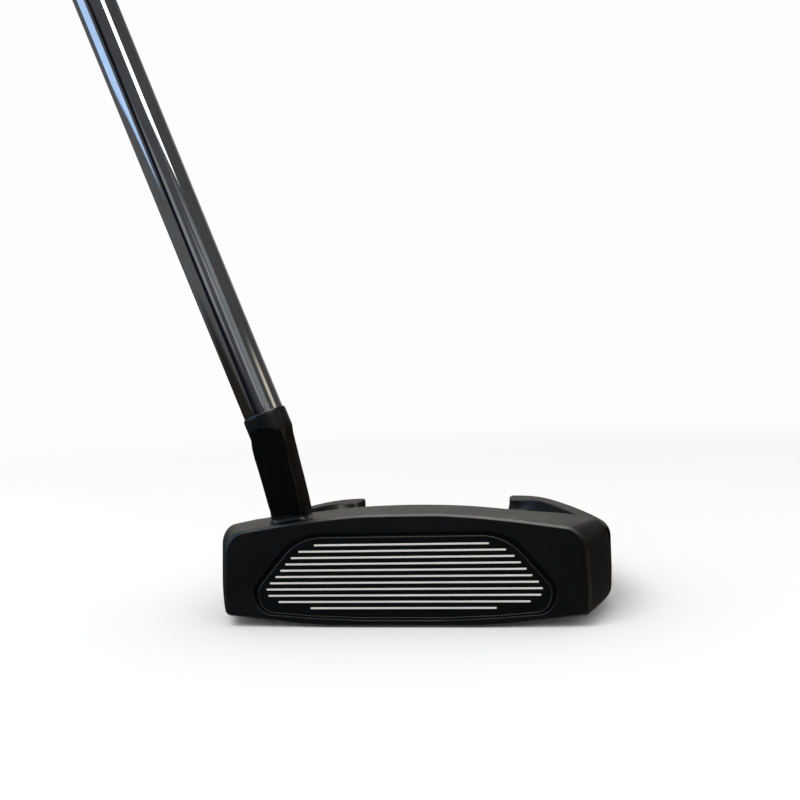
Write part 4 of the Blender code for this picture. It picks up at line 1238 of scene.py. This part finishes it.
# soft-edged rectangles of the mirrored room, later ones over earlier ones, in degrees:
# bearing from and to, elevation from and to, softness of each, colour
PANELS = (
    (-60, 12, 42, 68, 6, 5, (0.42, 0.42, 0.41)),           # high card over the camera
    (-125, -37, -22, -9, 3, 3, (0.034, 0.030, 0.024)),     # foot of the heel wall
    (-125, -37, -9, BEYOND, 3, 3, (0.17, 0.17, 0.17)),     # plain wall on the heel side
    (-88, -47, 4.4, 70, 1.2, 1.0, (0.95, 1.38, 2.0)),      # window
    (-19, -4, 6, 19, 2, 2, (0.42, 0.44, 0.44)),            # low card, heel side of the camera
    (-34, -19, -90, 24, 1.5, 2, (0.012, 0.013, 0.018)),    # dark gap beside it
    (17, 30, 13, 24, 3, 2, (0.50, 0.51, 0.52)),            # two low cards on the toe side
    (33, 58, 13, 33, 3, 3, (0.36, 0.38, 0.38)),
    (37, 62, 37.5, 66, 1.2, 0.8, (4.5, 4.5, 4.4)),         # long lamp
    (60, 130, -90, BEYOND, 3, 1, (0.065, 0.064, 0.06)),    # toe wall, and its lighter upper part
    (62, 125, 17, 66, 3, 5, (0.115, 0.113, 0.11)),
    (84, 105, 21, 28, 4, 2, (1.15, 1.05, 0.84)),           # warm strip on that wall
    (132, 172, -22, -4, 6, 4, (0.030, 0.021, 0.017)),      # warm dark wall behind the toe
    (34, 112, -72, -27, 5, 5, (0.17, 0.168, 0.16)),        # lit floor on both sides
    (-112, -72, -72, -27, 5, 5, (0.17, 0.168, 0.16)),
    (82, 98, -24, -4, 3, 3, (1.4, 1.3, 1.15)),             # bright strip for upright edges
    (-BEYOND, BEYOND, -400, -72, 5, 6, (0.5, 0.5, 0.5)),   # straight below
    (-BEYOND, BEYOND, 68, BEYOND, 5, 5, (7.0, 6.9, 6.6)))  # soft light overhead


def build_world():
    """A drawn room that only mirror rays see, and plain light for all else."""
    world = bpy.data.worlds.new("studio")
    bpy.context.scene.world = world
    world.use_nodes = True
    world.cycles.sampling_method = "NONE"
    world.node_tree.nodes.clear()
    nodes = Nodes(world.node_tree)
    x, y, z = nodes.split(nodes.add("ShaderNodeTexCoord").outputs["Generated"])
    # bearing: 0 towards -y, positive to the toe; elevation above the horizon; in degrees
    degrees = 57.29578
    bearing = nodes.times(nodes.math("ARCTAN2", x, nodes.times(y, -1.0)), degrees)
    sine = nodes.math("MINIMUM", nodes.math("MAXIMUM", z, -1.0), 1.0)
    elevation = nodes.times(nodes.math("ARCSINE", sine), degrees)

    def rising(angle, start, end):
        return nodes.remap(angle, span=(start, end), smooth=True)

    def falling(angle, start, end):
        return nodes.remap(angle, span=(start, end), to=(1, 0), smooth=True)

    low_cool, low_warm, high = (0.0065, 0.0072, 0.013), (0.009, 0.0078, 0.006), (0.12, 0.12, 0.125)
    low = nodes.mix(rising(bearing, -30, 20), low_cool, low_warm)
    colour = nodes.mix(rising(elevation, -7, 16), low, high)
    for left, right, bottom, top, soft_x, soft_z, tint in PANELS:
        cover = nodes.times(rising(bearing, left - soft_x, left + soft_x),
                            falling(bearing, right - soft_x, right + soft_x))
        cover = nodes.times(cover, rising(elevation, bottom - soft_z, bottom + soft_z))
        cover = nodes.times(cover, falling(elevation, top - soft_z, top + soft_z))
        colour = nodes.mix(cover, colour, tint)
    # bright band behind the club
    behind = nodes.math("ADD", falling(bearing, -158, -128), rising(bearing, 158, 174))
    band = nodes.times(behind, nodes.times(rising(elevation, 1, 8), falling(elevation, 20, 36)))
    band_colour, ground_colour = (0.58, 0.553, 0.51), (0.30, 0.295, 0.285)
    colour = nodes.mix(band, colour, band_colour)
    # the lit floor behind, which the walls at the back and the sole mirror
    ground = nodes.times(rising(nodes.math("ABSOLUTE", bearing), 100, 118),
                         nodes.times(rising(elevation, -80, -70), falling(elevation, -30, -16)))
    colour = nodes.mix(ground, colour, ground_colour)
    path = nodes.add("ShaderNodeLightPath")
    ambient, backdrop = (0.86,) * 3, (0.985,) * 3
    shown = nodes.mix(path.outputs["Is Camera Ray"], ambient, backdrop)
    shown = nodes.mix(path.outputs["Is Glossy Ray"], shown, colour)
    background = nodes.add("ShaderNodeBackground")
    nodes.link(shown, background.inputs["Color"])
    output = nodes.add("ShaderNodeOutputWorld")
    nodes.link(background.outputs[0], output.inputs["Surface"])


def lamp(name, place, target, size, watts, tint=(1, 1, 1), mirrored_too=False):
    light = bpy.data.lights.new(name, "AREA")
    light.shape, light.size, light.energy, light.color = "DISK", size, watts, tint
    holder = bpy.data.objects.new(name, light)
    bpy.context.scene.collection.objects.link(holder)
    holder.location = place
    aim = Vector(target) - Vector(place)
    holder.rotation_euler = aim.to_track_quat("-Z", "Y").to_euler()
    holder.visible_glossy = mirrored_too
    return holder


def build_lights():
    lamp("key", place=(-0.5, -0.7, 1.3), target=(0, 0, 0.02), size=0.9, watts=9.0)
    # a small card that lights, and is mirrored by, the heel wing alone
    card = lamp("wing_card", place=(0.170, -0.175, 0.113), target=(-0.031, 0.026, 0.017),
                size=0.12, watts=0.6, tint=(1.0, 0.95, 0.80), mirrored_too=True)
    card.visible_camera = False
    lit = bpy.data.collections.new("lit_by_wing_card")
    lit.objects.link(bpy.data.objects["wing_shell_heel"])
    card.light_linking.receiver_collection = lit


CAMERA_AT = Vector((32.58 * MM, (-205.02 - ORIGIN_Y) * MM, 57.22 * MM))
# the camera's own x, y and z axes; it looks along its -z
CAMERA_AXES = ((0.98804, 0.14887, -0.04018), (0.03646, 0.02762, 0.99895),
               (0.14982, -0.98847, 0.02186))


def build_camera():
    camera = bpy.data.cameras.new("camera")
    camera.sensor_width = 36.0
    camera.lens = 40.497975
    camera.clip_start, camera.clip_end = 0.01, 20
    holder = bpy.data.objects.new("camera", camera)
    bpy.context.scene.collection.objects.link(holder)
    pose = Matrix(CAMERA_AXES).transposed().to_4x4()
    pose.translation = CAMERA_AT
    holder.matrix_world = pose
    bpy.context.scene.camera = holder


build_floor()
build_world()
build_lights()
build_camera()
bpy.context.scene.view_settings.view_transform = "Standard"
bpy.context.scene.cycles.use_denoising = True
